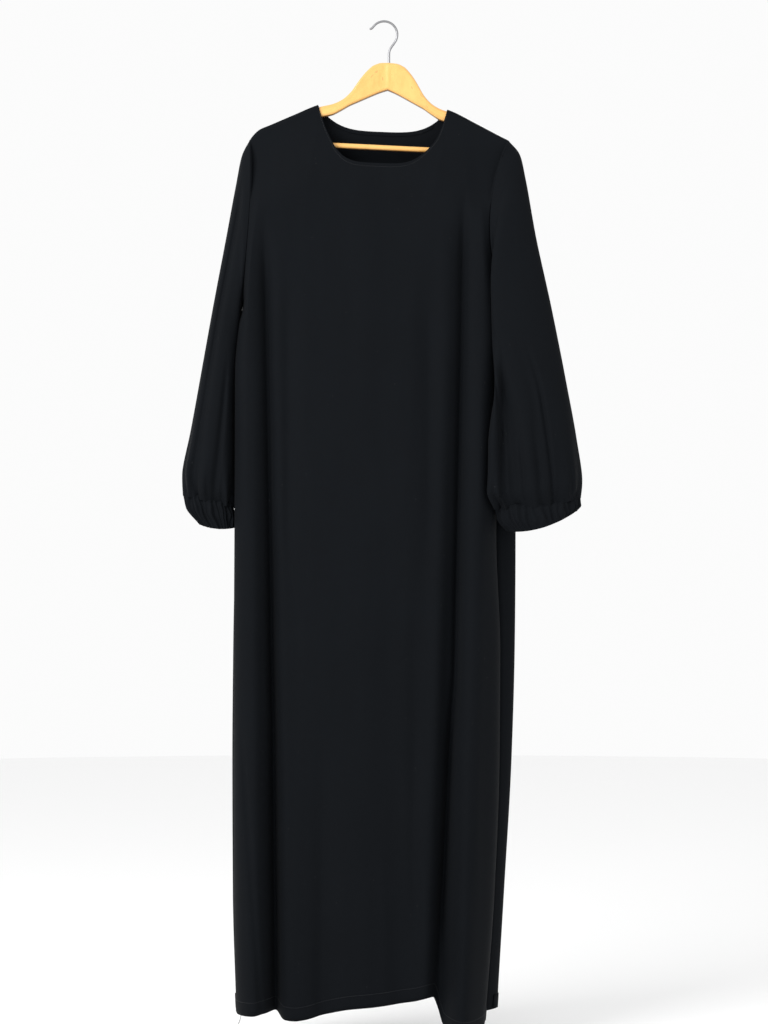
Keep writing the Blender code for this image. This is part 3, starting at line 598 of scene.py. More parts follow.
def on_hanger(across, down):
    """World x and drop of a point given along and below the leaning hanger."""
    x = PEAK_X + across * math.cos(TILT) - down * math.sin(TILT)
    drop = PEAK_DROP + down * math.cos(TILT) + across * math.sin(TILT)
    return x, drop


def forward(x, drop):
    """How far the bent hanger, and the shoulders on it, lie in front of the hook."""
    reach = min(abs(x - PEAK_X) / SWEEP_REACH, 1.0)
    return -SWEEP * reach ** SWEEP_POWER * (1.0 - smooth((drop - SWEEP_FADE_FROM) / SWEEP_FADE_LENGTH))


def world(x, y, drop):
    """A point of the straight hanger's frame, moved onto the bent hanger, in metres."""
    return Vector((x, y + forward(x, drop), -drop)) * MM


def superellipse(share, power):
    return max(0.0, 1.0 - abs(share) ** power) ** (1.0 / power)


def shoulder_point(across):
    return on_hanger(across, read(SHOULDER, abs(across), "down", "reach"))


@lru_cache(maxsize=None)
def armhole_top(side):
    return shoulder_point(LEFT_SHOULDER if side < 0 else RIGHT_SHOULDER)


def armhole_share(side, drop):
    """Where a drop lies on the armhole, from -1 at the shoulder to 1 under the arm."""
    top = armhole_top(side)[1]
    return (2.0 * drop - top - UNDERARM_DROP) / (UNDERARM_DROP - top)


def armhole_x(side, drop, face):
    """The armhole seam bows in towards the chest, more at the front than at the back."""
    hole = ARMHOLES[side]
    top_x, top = armhole_top(side)
    bow = hole.front_bow if face < 0 else hole.back_bow
    straight = mix(top_x, hole.underarm_x, smooth((drop - top) / (UNDERARM_DROP - top)))
    return straight - side * bow * superellipse(armhole_share(side, drop), 2.0) ** 2


def armhole_depth(side, drop):
    return ARMHOLE_DEPTH * superellipse(armhole_share(side, drop), ARMHOLE_POWER)


def neck_form(face):
    if face < 0:
        return FRONT_NECK_DEPTH, FRONT_NECK_POWER
    return BACK_NECK_DEPTH, BACK_NECK_POWER


def neck_share(place, steps, face):
    """How far across the neck a column lies. Those beside its corners follow the wrap."""
    if place > steps / 2:
        return 1.0 - neck_share(steps - place, steps, face)
    depth, power = neck_form(face)
    shares = [0.5 - 0.5 * (1.0 - down / depth) ** (1.0 / power) for down in NECK_STEPS_DOWN]
    last = len(shares) - 1
    if place <= last:
        return between(place, range(last + 1), shares)
    start = math.acos(1.0 - 2.0 * shares[-1])
    turn = mix(start, math.pi / 2, (place - last) / (steps / 2 - last))
    return 0.5 - 0.5 * math.cos(turn)


def top_edge(across, face):
    """Drop of a panel's upper edge, and how far the neckline lies below the shoulder there."""
    if LEFT_NECK < across < RIGHT_NECK:
        share = (across - LEFT_NECK) / (RIGHT_NECK - LEFT_NECK)
        depth, power = neck_form(face)
        below = depth * (1.0 - abs(2.0 * share - 1.0) ** power)
        left_drop = shoulder_point(LEFT_NECK)[1]
        right_drop = shoulder_point(RIGHT_NECK)[1]
        return mix(left_drop, right_drop, share) + below, below
    return shoulder_point(across)[1], 0.0


def neck_columns(panel):
    left = next(guide.column for guide in panel.guides if guide.shoulder == LEFT_NECK)
    right = next(guide.column for guide in panel.guides if guide.shoulder == RIGHT_NECK)
    return left, right


def top_across(column, panel):
    """Where a column meets the top edge, closely spaced beside the neck's corners."""
    left, right = neck_columns(panel)
    if left <= column <= right:
        return mix(LEFT_NECK, RIGHT_NECK, neck_share(column - left, right - left, panel.face))
    places = [0, *(guide.column for guide in panel.guides), panel.columns]
    values = [LEFT_SHOULDER, *(guide.shoulder for guide in panel.guides), RIGHT_SHOULDER]
    return between(column, places, values)


def side_x(side, drop, face):
    """The outermost x of a panel at a drop."""
    if drop < UNDERARM_DROP:
        return armhole_x(side, drop, face)
    name = ("front_" if face < 0 else "back_") + ("left" if side < 0 else "right")
    return read(BODY, drop, name, "drop")


def seam_x(side, drop):
    """The side seam is drawn in between the rolls of the front and the back."""
    front = side_x(side, drop, -1)
    back = side_x(side, drop, 1)
    inner = min(front, back) if side > 0 else max(front, back)
    return inner - side * SIDE_TUCK * smooth((drop - UNDERARM_DROP) / SIDE_TUCK_LENGTH)


def fold_push(folds, x, drop):
    """How far the folds push a panel out of its plain form."""
    push = 0.0
    for fold in folds:
        share = (drop - fold.top) / (fold.bottom - fold.top)
        centre = mix(fold.x_top, fold.x_bottom, share)
        if abs(x - centre) > FOLD_REACH * fold.width:
            continue
        fade = smooth((drop - fold.top) / FOLD_FADE)
        if fold.bottom < HEM_DROP:
            fade *= smooth((fold.bottom - drop) / FOLD_FADE)
        height = mix(fold.depth_top, fold.depth_bottom, min(max(share, 0.0), 1.0))
        push += fade * height * bump(x - centre, fold.width)
    return push


def panel_point(panel, column, below_top, creased=True):
    """x, y and drop of the cloth's outer side, at a column and a length below the top edge."""
    face = panel.face
    across = top_across(column, panel)
    top_drop, below_shoulder = top_edge(across, face)
    hem_drop = read(panel.hem, column / panel.columns, "drop", "across")
    drop = top_drop + below_top * (hem_drop - top_drop) / ROW_SPAN
    hanging = drop - top_drop + below_shoulder

    side = -1 if column < panel.columns / 2 else 1
    edge = side_x(side, drop, face)
    seam = seam_x(side, drop) if drop >= UNDERARM_DROP else edge
    inner_guide = panel.guides[0] if side < 0 else panel.guides[-1]
    steps = column if side < 0 else panel.columns - column
    roundness = smooth((drop - UNDERARM_DROP + ROUNDING_ABOVE) / ROUNDING_LENGTH)
    chest_share = min(max((drop - CHEST_DROP) / (HEM_DROP - CHEST_DROP), 0.0), 1.0)
    if steps <= panel.side_columns:
        q = steps / panel.side_columns
        inner_x = mix(inner_guide.chest, inner_guide.hem, chest_share)
        round_x = mix(q, 1.0 - math.cos(q * math.pi / 2), roundness)
        low_x = mix(edge, inner_x, round_x) + (seam - edge) * max(0.0, 1.0 - SIDE_TUCK_FADE * q) ** 2
    else:
        q = 1.0
        guide_columns = [guide.column for guide in panel.guides]
        low_places = [mix(guide.chest, guide.hem, chest_share) for guide in panel.guides]
        low_x = between(column, guide_columns, low_places)
    shift = smooth((drop - top_drop) / GUIDE_SHIFT_DROP) if steps else 1.0
    share = (across - LEFT_SHOULDER) / (RIGHT_SHOULDER - LEFT_SHOULDER)
    x = mix(mix(side_x(-1, drop, face), side_x(1, drop, face), share), low_x, shift)

    depth = read(BODY, drop, "front" if face < 0 else "back", "drop")
    depth += fold_push(panel.folds, x, drop) * mix(q, 1.0, SIDE_FOLD_SHARE)
    wrap = ARM_WRAP * superellipse(1.0 - min(hanging / ARM_WRAP, 1.0), ARM_WRAP_POWER)
    inner_y = wrap + (depth - ARM_WRAP) * smooth(hanging / DRAPE_DROP) * min(hanging / EDGE_DROP, 1.0)
    level = max(drop, armhole_top(side)[1] + hanging)
    edge_y = armhole_depth(side, level) if drop < UNDERARM_DROP else 0.0
    edge_y = min(edge_y, inner_y) if steps else edge_y
    y = mix(edge_y, inner_y, math.sin(q * math.pi / 2))
    if creased:
        y += crease_push(panel, x, drop, hanging) * smooth(steps / 2.0)
    return x, face * max(y, SEAM_GAP / 2), drop


def crease_push(panel, x, drop, hanging):
    """The narrow creases and the slight unevenness of hung crepe."""
    free = smooth((hanging - CREASE_START) / CREASE_FADE)
    place = Vector((x / UNEVEN_ACROSS, panel.face * 3.0, drop / UNEVEN_DOWN))
    soft = UNEVEN_BROAD * noise.noise(place) + UNEVEN_SMALL * noise.noise(place * UNEVEN_STEP)
    return free * (fold_push(panel.creases, x, drop) + soft)


# Sleeves and cuffs


def ring_middle(row):
    """Middle, half span and half length of a ring between its outer and inner edge."""
    middle = ((row.outer_x + row.inner_x) / 2, (row.outer_drop + row.inner_drop) / 2)
    half = ((row.outer_x - row.inner_x) / 2, (row.outer_drop - row.inner_drop) / 2)
    return middle, half, math.hypot(*half)


def ring_point(row, turn, wave):
    """A point of a ring, pushed out by a wave in the ring's own plane."""
    middle, half, length = ring_middle(row)
    cosine, sine = math.cos(turn), math.sin(turn)
    across = math.copysign(abs(cosine) ** (2.0 / RING_POWER), cosine) + wave * cosine / length
    depth = math.copysign(abs(sine) ** (2.0 / RING_POWER), sine)
    y = row.y - depth * (row.front if sine > 0 else row.back) - wave * sine
    sag = row.sag * max(0.0, 1.0 - across * across)
    return [middle[0] + half[0] * across, y, middle[1] + half[1] * across + sag]


@lru_cache(maxsize=None)
def sleeve_rows(sleeve):
    """The rings of a sleeve, with its armhole first."""
    hole = ARMHOLES[sleeve.side]
    top_x, top_drop = armhole_top(sleeve.side)
    start = Ring(top_x, top_drop, hole.underarm_x, UNDERARM_DROP, 0.0,
                 ARMHOLE_DEPTH, ARMHOLE_DEPTH, hole.front_bow, 0.0)
    return (start, *sleeve.rings)


@lru_cache(maxsize=None)
def sleeve_ring(sleeve, place):
    rows = sleeve_rows(sleeve)
    return Ring(*[read(rows, place, column) for column in Ring._fields])


def gather_wave(sleeve, place, turn):
    """The cloth gathers towards the cuff: broad waves first, then small uneven pleats."""
    last = len(sleeve.rings)
    broad = smooth((place - GATHER_FROM_RING) / (last - GATHER_FROM_RING))
    wave = SLEEVE_GATHER_DEPTH * broad * math.cos(SLEEVE_GATHERS * turn + SLEEVE_GATHER_TURN)
    pleat = 0.0
    for row in PLEATS:
        offset = math.remainder(turn - row.turn, 2.0 * math.pi)
        near = smooth((place - last + row.length) / row.length)
        pleat += row.depth * near * near * bump(offset, row.width)
    return wave + pleat


def sleeve_push(sleeve, place, turn):
    """The long soft folds that run down a sleeve."""
    face = -1 if math.sin(turn) > 0 else 1
    push = 0.0
    for fold in (*sleeve.folds, *sleeve.creases):
        if fold.face != face:
            continue
        fade = smooth((place - fold.first) / SLEEVE_FOLD_RISE)
        fade *= smooth((fold.last + SLEEVE_FOLD_END - place) / SLEEVE_FOLD_END)
        push -= face * fold.depth * fade * bump(math.cos(turn) - fold.across, fold.width)
    return push


def loose_point(sleeve, place, turn):
    """A sleeve's point before it is laid on the body."""
    side = sleeve.side
    hole = ARMHOLES[side]
    row = sleeve_ring(sleeve, place)
    point = ring_point(row, turn, gather_wave(sleeve, place, turn))
    face = -1 if math.sin(turn) > 0 else 1
    bow = row.roll if face < 0 else hole.back_bow * (1.0 - smooth(place / BACK_BOW_FADE))
    point[0] -= side * bow * math.sin(turn) ** 2
    point[1] += sleeve_push(sleeve, place, turn)
    over_front = face < 0 and place > FRONT_ROLL_RING
    if point[2] < UNDERARM_DROP + 1.0 and not over_front:
        seam = armhole_x(side, min(point[2], UNDERARM_DROP), face) + side * ARMHOLE_GAP
        point[0] = seam if place == 0.0 else side * max(side * point[0], side * seam)
    elif face > 0 and place < AROUND_BODY_RINGS:
        beside = side_x(side, point[2], 1) + side * SLEEVE_CLEARANCE
        point[0] = side * max(side * point[0], side * beside)
    return point


class BodySurface:
    """How far forward the front reaches on its right side, for the sleeve that lies on it."""

    STEP = 5.0

    def __init__(self, panel, first_drop, last_drop):
        self.first = first_drop
        self.rows = []
        grid = [
            [panel_point(panel, column / 2, below, False) for below in PANEL_ROWS]
            for column in range(panel.columns, 2 * panel.columns + 1)
        ]
        grid = np.array(grid)
        for drop in np.arange(first_drop, last_drop, self.STEP):
            xs = [np.interp(drop, line[:, 2], line[:, 0]) for line in grid]
            ys = [np.interp(drop, line[:, 2], line[:, 1]) for line in grid]
            last = int(np.argmax(xs)) + 1
            self.rows.append((xs[:last], ys[:last]))

    def at(self, x, drop):
        place = min(max((drop - self.first) / self.STEP, 0.0), len(self.rows) - 1.001)
        index = int(place)
        found = []
        for xs, ys in self.rows[index:index + 2]:
            beside = max(0.0, x - side_x(1, drop, 1) - SLEEVE_CLEARANCE)
            found.append(between(x, xs, ys) if x <= xs[-1] else beside)
        return mix(found[0], found[1], place - index)


def sleeve_point(sleeve, place, turn, body):
    """A sleeve's point. The right sleeve lies forward where the body is behind it."""
    point = loose_point(sleeve, place, turn)
    beside_body = math.sin(turn) < 0 and place < AROUND_BODY_RINGS
    if sleeve.side < 0 or beside_body or place <= FRONT_ROLL_RING:
        return point
    opposite = loose_point(sleeve, place, -turn)
    behind = SLEEVE_SQUEEZE * max(0.0, opposite[1] - point[1])
    behind *= smooth((place - FULL_SLEEVE_RING + SQUEEZE_RISE) / SQUEEZE_RISE)
    x, y, drop = point
    near = min(body.at(x + step, drop) for step in (-SLEEVE_REACH, 0.0, SLEEVE_REACH))
    return [x, min(y, near - SLEEVE_CLEARANCE - behind), drop]


def cuff_point(cuff, place, turn):
    """The elastic casing: a short tube drawn into close uneven pleats, pinched at its rows.

    Above place 0 its seam allowance stands up inside the sleeve.
    """
    tuck = smooth(-place / CUFF_TUCK_ROWS)
    place = max(place, 0.0)
    row = Cuff(*[read(cuff.rows, place, column) for column in Cuff._fields])
    row = row._replace(front=row.front - CUFF_TUCK_IN * tuck, back=row.back - CUFF_TUCK_IN * tuck)
    swell = 1.0 - CUFF_SWELL + CUFF_SWELL * math.cos(math.pi * (place - 1.0))
    wave = CUFF_GATHER_DEPTH * swell * math.cos(CUFF_GATHERS * turn)
    around = Vector((math.cos(turn), math.sin(turn), place * PLEAT_WANDER_DOWN))
    wander = PLEAT_WANDER * noise.noise(around * PLEAT_WANDER_STEP)
    fine = math.cos(cuff.pleats * turn + wander * PLEAT_WANDER_SHARE)
    wave += cuff.pleat_depth * fine * (1.0 - PLEAT_EDGE_LOSS * abs(place - 1.0))
    point = ring_point(row, turn, wave)
    if place == 0.0:
        point[2] += CUFF_GAP * (1.0 - tuck) - CUFF_TUCK_UP * tuck
    return point


# Meshes


def cloth_mesh(name, columns, rows, form, size, wraps=False):
    """A grid of cloth moved onto a form. form(u, v) gives a point in metres, with v from the top."""
    shape = bmesh.new()
    uv = shape.loops.layers.uv.new("cloth")
    bmesh.ops.create_grid(shape, x_segments=columns, y_segments=rows, size=0.5, calc_uvs=True)
    for face in shape.faces:
        for loop in face.loops:
            place = loop.vert.co
            loop[uv].uv = ((place.x + 0.5) * size[0], (0.5 - place.y) * size[1])
    for vert in shape.verts:
        vert.co = form(vert.co.x + 0.5, 0.5 - vert.co.y)
    if wraps:
        bmesh.ops.remove_doubles(shape, verts=shape.verts, dist=1e-7)
    return shape


def face_outwards(shape, outward):
    """Turns an open sheet so that its normals point the way outward(point) says."""
    shape.normal_update()
    score = sum(face.normal.dot(outward(face.calc_center_median())) * face.calc_area()
                for face in shape.faces)
    if score < 0.0:
        bmesh.ops.reverse_faces(shape, faces=shape.faces)


def piece(name, shape, material, replaces=()):
    """Makes the piece an object at the origin that rides on the frame."""
    mesh = bpy.data.meshes.new(name)
    shape.to_mesh(mesh)
    shape.free()
    mesh.shade_smooth()
    made = bpy.data.objects.new(name, mesh)
    bpy.context.scene.collection.objects.link(made)
    made.data.materials.append(material)
    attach(made, "root")
    if replaces:
        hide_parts(*replaces)
    return made


def thicken(made, thickness):
    """Gives a sheet its wall, inwards from the side that shows."""
    wall = made.modifiers.new("wall", "SOLIDIFY")
    wall.thickness = thickness
    wall.offset = -1.0
    wall.use_rim = True
    return made


def panel_below(share):
    """Rows lie close together at the top, where the cloth wraps over the hanger."""
    return ROW_SPAN * share ** 1.5


def panel_form(panel):
    return lambda u, v: world(*panel_point(panel, u * panel.columns, panel_below(v)))


def make_panel(panel, material, thickness):
    shape = cloth_mesh(panel.name, *panel.grid, panel_form(panel), panel.flat)
    face_outwards(shape, lambda point: Vector((0.0, panel.face, 0.0)))
    made = piece(panel.name + "_cloth", shape, material, [panel.name])
    thicken(made, thickness)
    return made


# Materials


def new_material(name):
    made = bpy.data.materials.new(name)
    made.use_nodes = True
    made.node_tree.nodes.clear()
    shader = add(made.node_tree, "ShaderNodeBsdfPrincipled")
    output = add(made.node_tree, "ShaderNodeOutputMaterial")
    made.node_tree.links.new(shader.outputs["BSDF"], output.inputs["Surface"])
    return made, made.node_tree, shader


def add(tree, kind, **settings):
    """Adds a node and gives it its own settings."""
    node = tree.nodes.new(kind)
    for name, value in settings.items():
        setattr(node, name, value)
    return node


def feed(tree, node, **inputs):
    """Gives inputs their value, or links them where the value is a socket."""
    for name, value in inputs.items():
        socket = node.inputs[int(name[1:])] if name[1:].isdigit() else node.inputs[name.replace("_", " ")]
        if isinstance(value, bpy.types.NodeSocket):
            tree.links.new(value, socket)
        else:
            socket.default_value = value
    return node


def group_tree(name, inputs, outputs):
    """A node group with float, colour or vector sockets."""
    tree = bpy.data.node_groups.new(name, "ShaderNodeTree")
    for kind, label, value in inputs:
        socket = tree.interface.new_socket(label, in_out="INPUT", socket_type=kind)
        if value is not None:
            socket.default_value = value
    for kind, label in outputs:
        tree.interface.new_socket(label, in_out="OUTPUT", socket_type=kind)
    return tree, add(tree, "NodeGroupInput"), add(tree, "NodeGroupOutput")


def noise_of(tree, vector, scale, detail=2.0, roughness=0.5):
    node = add(tree, "ShaderNodeTexNoise")
    return feed(tree, node, Vector=vector, Scale=scale, Detail=detail, Roughness=roughness)


def maths(tree, operation, first, second=0.0):
    return feed(tree, add(tree, "ShaderNodeMath", operation=operation), _0=first, _1=second).outputs[0]


def mixed(tree, share, first, second):
    """A colour between two others."""
    node = add(tree, "ShaderNodeMix", data_type="RGBA")
    return feed(tree, node, _0=share, _6=first, _7=second).outputs[2]


def spread(tree, value, **limits):
    """A value stretched from one range to another, from 0 to 1 where no limit is given."""
    return feed(tree, add(tree, "ShaderNodeMapRange"), Value=value, **limits).outputs[0]


def raised(tree, height, strength, distance):
    """The normal of a surface with a small relief."""
    node = add(tree, "ShaderNodeBump")
    return feed(tree, node, Height=height, Strength=strength, Distance=distance).outputs[0]


def opaque(colour, factor=1.0):
    return (*(factor * part for part in colour), 1.0)


def crepe_group():
    """Crepe: a pebbled surface of twisted yarns over a fine weave, with slight shade changes."""
    tree, given, out = group_tree(
        "crepe weave",
        [("NodeSocketFloat", "Grain", 1100.0), ("NodeSocketFloat", "Yarns", 1500.0)],
        [("NodeSocketFloat", "Height"), ("NodeSocketFloat", "Shade"), ("NodeSocketFloat", "Lint")],
    )
    place = add(tree, "ShaderNodeTexCoord")
    pebbles = noise_of(tree, place.outputs["Object"], given.outputs["Grain"], 3.0, 0.6)
    weave = add(tree, "ShaderNodeTexWave", wave_type="BANDS", bands_direction="DIAGONAL")
    feed(tree, weave, Vector=place.outputs["UV"], Scale=given.outputs["Yarns"], Distortion=1.5, Detail=1.0)
    cross = add(tree, "ShaderNodeTexWave", wave_type="BANDS", bands_direction="Y")
    feed(tree, cross, Vector=place.outputs["UV"], Scale=given.outputs["Yarns"], Distortion=1.0)
    yarns = maths(tree, "MULTIPLY", weave.outputs["Fac"], cross.outputs["Fac"])
    height = maths(tree, "ADD", pebbles.outputs["Fac"], maths(tree, "MULTIPLY", yarns, 0.45))
    broad = noise_of(tree, place.outputs["Object"], 9.0, 3.0)
    cloudy = noise_of(tree, place.outputs["Object"], 70.0, 2.0)
    shade = maths(tree, "ADD", maths(tree, "MULTIPLY", broad.outputs["Fac"], 0.7),
                  maths(tree, "MULTIPLY", cloudy.outputs["Fac"], 0.3))
    specks = add(tree, "ShaderNodeTexVoronoi", feature="F1")
    feed(tree, specks, Vector=place.outputs["Object"], Scale=55.0)
    lint = maths(tree, "LESS_THAN", specks.outputs["Distance"], 0.022)
    feed(tree, out, Height=height, Shade=shade, Lint=lint)
    return tree


def crepe_material(settings):
    made, tree, shader = new_material("black crepe")
    crepe = add(tree, "ShaderNodeGroup", node_tree=crepe_group())
    feed(tree, crepe, Grain=settings.grain, Yarns=settings.yarns)
    pale = opaque(settings.colour, settings.shade_range)
    cloth = mixed(tree, crepe.outputs["Shade"], opaque(settings.colour), pale)
    dusty = mixed(tree, crepe.outputs["Lint"], cloth, opaque(settings.lint_colour))
    rough = spread(tree, crepe.outputs["Shade"], To_Min=settings.roughness - 0.06,
                   To_Max=settings.roughness + 0.06)
    relief = raised(tree, crepe.outputs["Height"], settings.relief, 0.0004)
    feed(tree, shader, Base_Color=dusty, Roughness=rough, Normal=relief)
    shader.inputs["Sheen Weight"].default_value = settings.sheen
    shader.inputs["Sheen Roughness"].default_value = 0.45
    shader.inputs["Specular IOR Level"].default_value = settings.gloss
    return made


def thread_material(settings):
    """Polyester sewing thread, a little glossier than the cloth, twisted along its length."""
    made, tree, shader = new_material("black thread")
    place = add(tree, "ShaderNodeTexCoord")
    twist = add(tree, "ShaderNodeTexWave", bands_direction="DIAGONAL")
    feed(tree, twist, Vector=place.outputs["Object"], Scale=900.0, Distortion=0.5)
    dark = opaque(settings.thread_colour, 0.7)
    shade = mixed(tree, twist.outputs["Fac"], dark, opaque(settings.thread_colour))
    relief = raised(tree, twist.outputs["Fac"], 0.3, 0.0001)
    feed(tree, shader, Base_Color=shade, Roughness=0.5, Normal=relief)
    return made


def grain_group():
    """Wood grain that runs along a piece's length, with pores and broad bands."""
    tree, given, out = group_tree(
        "wood grain",
        [("NodeSocketVector", "Place", None), ("NodeSocketFloat", "Lines", 900.0)],
        [("NodeSocketFloat", "Grain"), ("NodeSocketFloat", "Pores")],
    )
    stretch = add(tree, "ShaderNodeMapping")
    feed(tree, stretch, Vector=given.outputs["Place"], Scale=(1.0, 0.045, 1.0))
    bands = noise_of(tree, stretch.outputs[0], maths(tree, "MULTIPLY", given.outputs["Lines"], 0.16), 4.0)
    lines = noise_of(tree, stretch.outputs[0], given.outputs["Lines"], 2.0)
    grain = maths(tree, "ADD", maths(tree, "MULTIPLY", bands.outputs["Fac"], 0.65),
                  maths(tree, "MULTIPLY", lines.outputs["Fac"], 0.35))
    pores = maths(tree, "GREATER_THAN", lines.outputs["Fac"], 0.66)
    feed(tree, out, Grain=grain, Pores=pores)
    return tree


def wood_material(settings):
    """Clear lacquer over pale wood with dark pores, and painted shade that turns the faces that point down
    brown.
    """
    made, tree, shader = new_material("lacquered wood")
    place = add(tree, "ShaderNodeTexCoord")
    grain = add(tree, "ShaderNodeGroup", node_tree=grain_group())
    feed(tree, grain, Place=place.outputs["UV"], Lines=settings.grain)
    lines = spread(tree, grain.outputs["Grain"], From_Min=0.35, From_Max=0.65)
    tint = mixed(tree, lines, opaque(settings.wood_dark), opaque(settings.wood_pale))
    pores = maths(tree, "MULTIPLY", grain.outputs["Pores"], 0.3)
    pored = mixed(tree, pores, tint, opaque(settings.pore_and_painted_underside_shade))
    # Painted shade: the faces that point down are mixed towards the dark brown, as if in their own shadow.
    facing = add(tree, "ShaderNodeNewGeometry")
    split = add(tree, "ShaderNodeSeparateXYZ")
    feed(tree, split, Vector=facing.outputs["Normal"])
    under = spread(tree, split.outputs["Z"], From_Min=-0.55, From_Max=-0.85)
    wood_with_painted_underside_shade = mixed(tree, under, pored, opaque(settings.pore_and_painted_underside_shade))
    relief = raised(tree, grain.outputs["Grain"], 0.12, 0.0003)
    feed(tree, shader, Base_Color=wood_with_painted_underside_shade, Normal=relief)
    shader.inputs["Roughness"].default_value = 0.42
    shader.inputs["Coat Weight"].default_value = 0.7
    shader.inputs["Coat Roughness"].default_value = 0.12
    return made


def chrome_material(settings):
    """Plated wire, a little dulled, with faint drawing marks."""
    made, tree, shader = new_material("chrome wire")
    place = add(tree, "ShaderNodeTexCoord")
    marks = noise_of(tree, place.outputs["Object"], 420.0, 3.0)
    rough = spread(tree, marks.outputs["Fac"], To_Min=settings.chrome_roughness * 0.6,
                   To_Max=settings.chrome_roughness * 1.6)
    dull = opaque(settings.chrome_colour, 0.86)
    tone = mixed(tree, marks.outputs["Fac"], opaque(settings.chrome_colour), dull)
    feed(tree, shader, Base_Color=tone, Roughness=rough)
    shader.inputs["Metallic"].default_value = 1.0
    return made


# Hanger


def arm_point(across, around):
    """A point of the hanger's wood: a rounded rectangle square to its length, around from 0 to 1."""
    reach = abs(across)
    top = read(ARM, reach, "top", "reach")
    bottom = read(ARM, reach, "bottom", "reach")
    end = smooth((reach - ARM[-2].reach) / (ARM[-1].reach - ARM[-2].reach))
    half = ARM_HALF_THICKNESS * mix(1.0, END_THINNING, end) + JOINT_RIDGE * bump(across, JOINT_WIDTH)
    rounding = ARM_ROUNDING * mix(1.0, END_THINNING, end)
    corner, step = divmod(around * 4.0, 1.0)
    corner = int(corner) % 4
    turn = math.radians(90.0 * (corner + step))
    y = half - rounding if corner < 2 else rounding - half
    down = top + rounding if corner in (0, 3) else bottom - rounding
    x, drop = on_hanger(across, down - rounding * math.cos(turn))
    return world(x, y + rounding * math.sin(turn), drop)


def arm_across(share):
    """Sections lie close together at the middle joint."""
    s = 2.0 * share - 1.0
    return ARM[-1].reach * s * (0.22 + 0.78 * s * s)


def corner_around(share, steps):
    """Spreads the points over the four rounded corners, and leaves the flat faces between them."""
    corner, step = divmod(share * 4.0 * (steps + 1) + 1e-6, steps + 1)
    return (corner + min(step / steps, 0.9999)) / 4.0


def tube(points, radius, around, tapers=()):
    """A round tube in the plane of the hanger, along points of x and drop, with closed ends."""
    last = len(points) - 1

    def form(u, v):
        index = round(v * last)
        x, drop = points[index]
        before, after = points[max(index - 1, 0)], points[min(index + 1, last)]
        along = Vector((after[0] - before[0], after[1] - before[1])).normalized()
        turn = 2.0 * math.pi * u
        size = radius * (tapers[index] if index < len(tapers) else 1.0)
        across = size * math.cos(turn)
        return Vector((x - along.y * across, size * math.sin(turn), -(drop + along.x * across))) * MM

    shape = cloth_mesh("tube", around, last, form, (2 * math.pi * radius * MM, 0.3), wraps=True)
    close_ends(shape)
    return shape


def close_ends(shape):
    rim = [edge for edge in shape.edges if edge.is_boundary]
    bmesh.ops.holes_fill(shape, edges=rim, sides=0)
    bmesh.ops.recalc_face_normals(shape, faces=shape.faces)


def hook_line():
    """The wire's centre line: a short flick, most of a circle, a reverse curve and the shank."""
    centre_drop = HOOK_RADIUS - WIRE_RADIUS
    points = list(FLICK)
    for step in range(1, 73):
        turn = math.radians(HOOK_START_TURN - (HOOK_START_TURN + HOOK_LEAN) * step / 72)
        points.append((HOOK_RADIUS * math.cos(turn), centre_drop - HOOK_RADIUS * math.sin(turn)))
    start = points[-1]
    lean = math.radians(HOOK_LEAN)
    controls = (
        start,
        (start[0] - HOOK_PULL * math.sin(lean), start[1] + HOOK_PULL * math.cos(lean)),
        (PEAK_X, 44.0),
        (PEAK_X, SHANK_TOP),
    )
    for step in range(1, 25):
        t = step / 24
        weights = ((1 - t) ** 3, 3 * t * (1 - t) ** 2, 3 * t * t * (1 - t), t ** 3)
        points.append(tuple(sum(w * c[i] for w, c in zip(weights, controls)) for i in (0, 1)))
    shank_end = PEAK_DROP + SHANK_DEPTH - 0.3
    points += [(PEAK_X, mix(SHANK_TOP, shank_end, step / 8)) for step in range(1, 9)]
    return points


def make_hanger(settings, wood, chrome):
    arms = cloth_mesh(
        "arms", *ARM_GRID,
        lambda u, v: arm_point(arm_across(v), corner_around(u, ARM_CORNER_STEPS)),
        (0.08, 0.45), wraps=True,
    )
    close_ends(arms)
    arms = piece("hanger_arms_wood", arms, wood, ["hanger_arms"])
    arms.data.set_sharp_from_angle(angle=SHARP_WOOD)

    end_x, end_drop = on_hanger(BAR_REACH - BAR_SOCKET / 2, BAR_DOWN)
    bar_y = forward(end_x, end_drop)

    def bar_form(u, v):
        turn = 2.0 * math.pi * u
        radius = BAR_RADIUS * (1.0 - BAR_TAPER * smooth(abs(2.0 * v - 1.0)))
        x, drop = on_hanger(mix(-BAR_REACH, BAR_REACH, v), BAR_DOWN - radius * math.cos(turn))
        return Vector((x, bar_y + radius * math.sin(turn), -drop)) * MM

    bar = cloth_mesh("bar", *BAR_GRID, bar_form, (0.03, 0.38), wraps=True)
    close_ends(bar)
    bar = piece("hanger_bar_wood", bar, wood, ["hanger_bar"])
    bar.data.set_sharp_from_angle(angle=SHARP_WOOD)

    hook = tube(hook_line(), WIRE_RADIUS, 20, tapers=FLICK_TAPERS)
    hook = piece("hanger_hook_wire", hook, chrome, ["hanger_hook"])
    hook.data.set_sharp_from_angle(angle=SHARP_WIRE)


# Seams, hems and threads


def panel_normal(panel, column, below):
    """The outward normal of a panel's cloth, from its neighbouring points."""
    step = 0.05
    last = panel.columns
    along = [Vector(panel_point(panel, min(max(column + s, 0.0), last), below)) for s in (-step, step)]
    down = [Vector(panel_point(panel, column, min(max(below + s, 0.0), ROW_SPAN))) for s in (-1.0, 1.0)]
    across = along[1] - along[0]
    fall = down[1] - down[0]
    normal = Vector((across.x, across.y, -across.z)).cross(Vector((fall.x, fall.y, -fall.z)))
    if normal.y * panel.face < 0.0:
        normal = -normal
    return normal.normalized()


def on_panel(panel, column, below, lift):
    """A point above the cloth's outer side by a lift, in metres. A negative lift is inside."""
    return world(*panel_point(panel, column, below)) + panel_normal(panel, column, below) * lift * MM


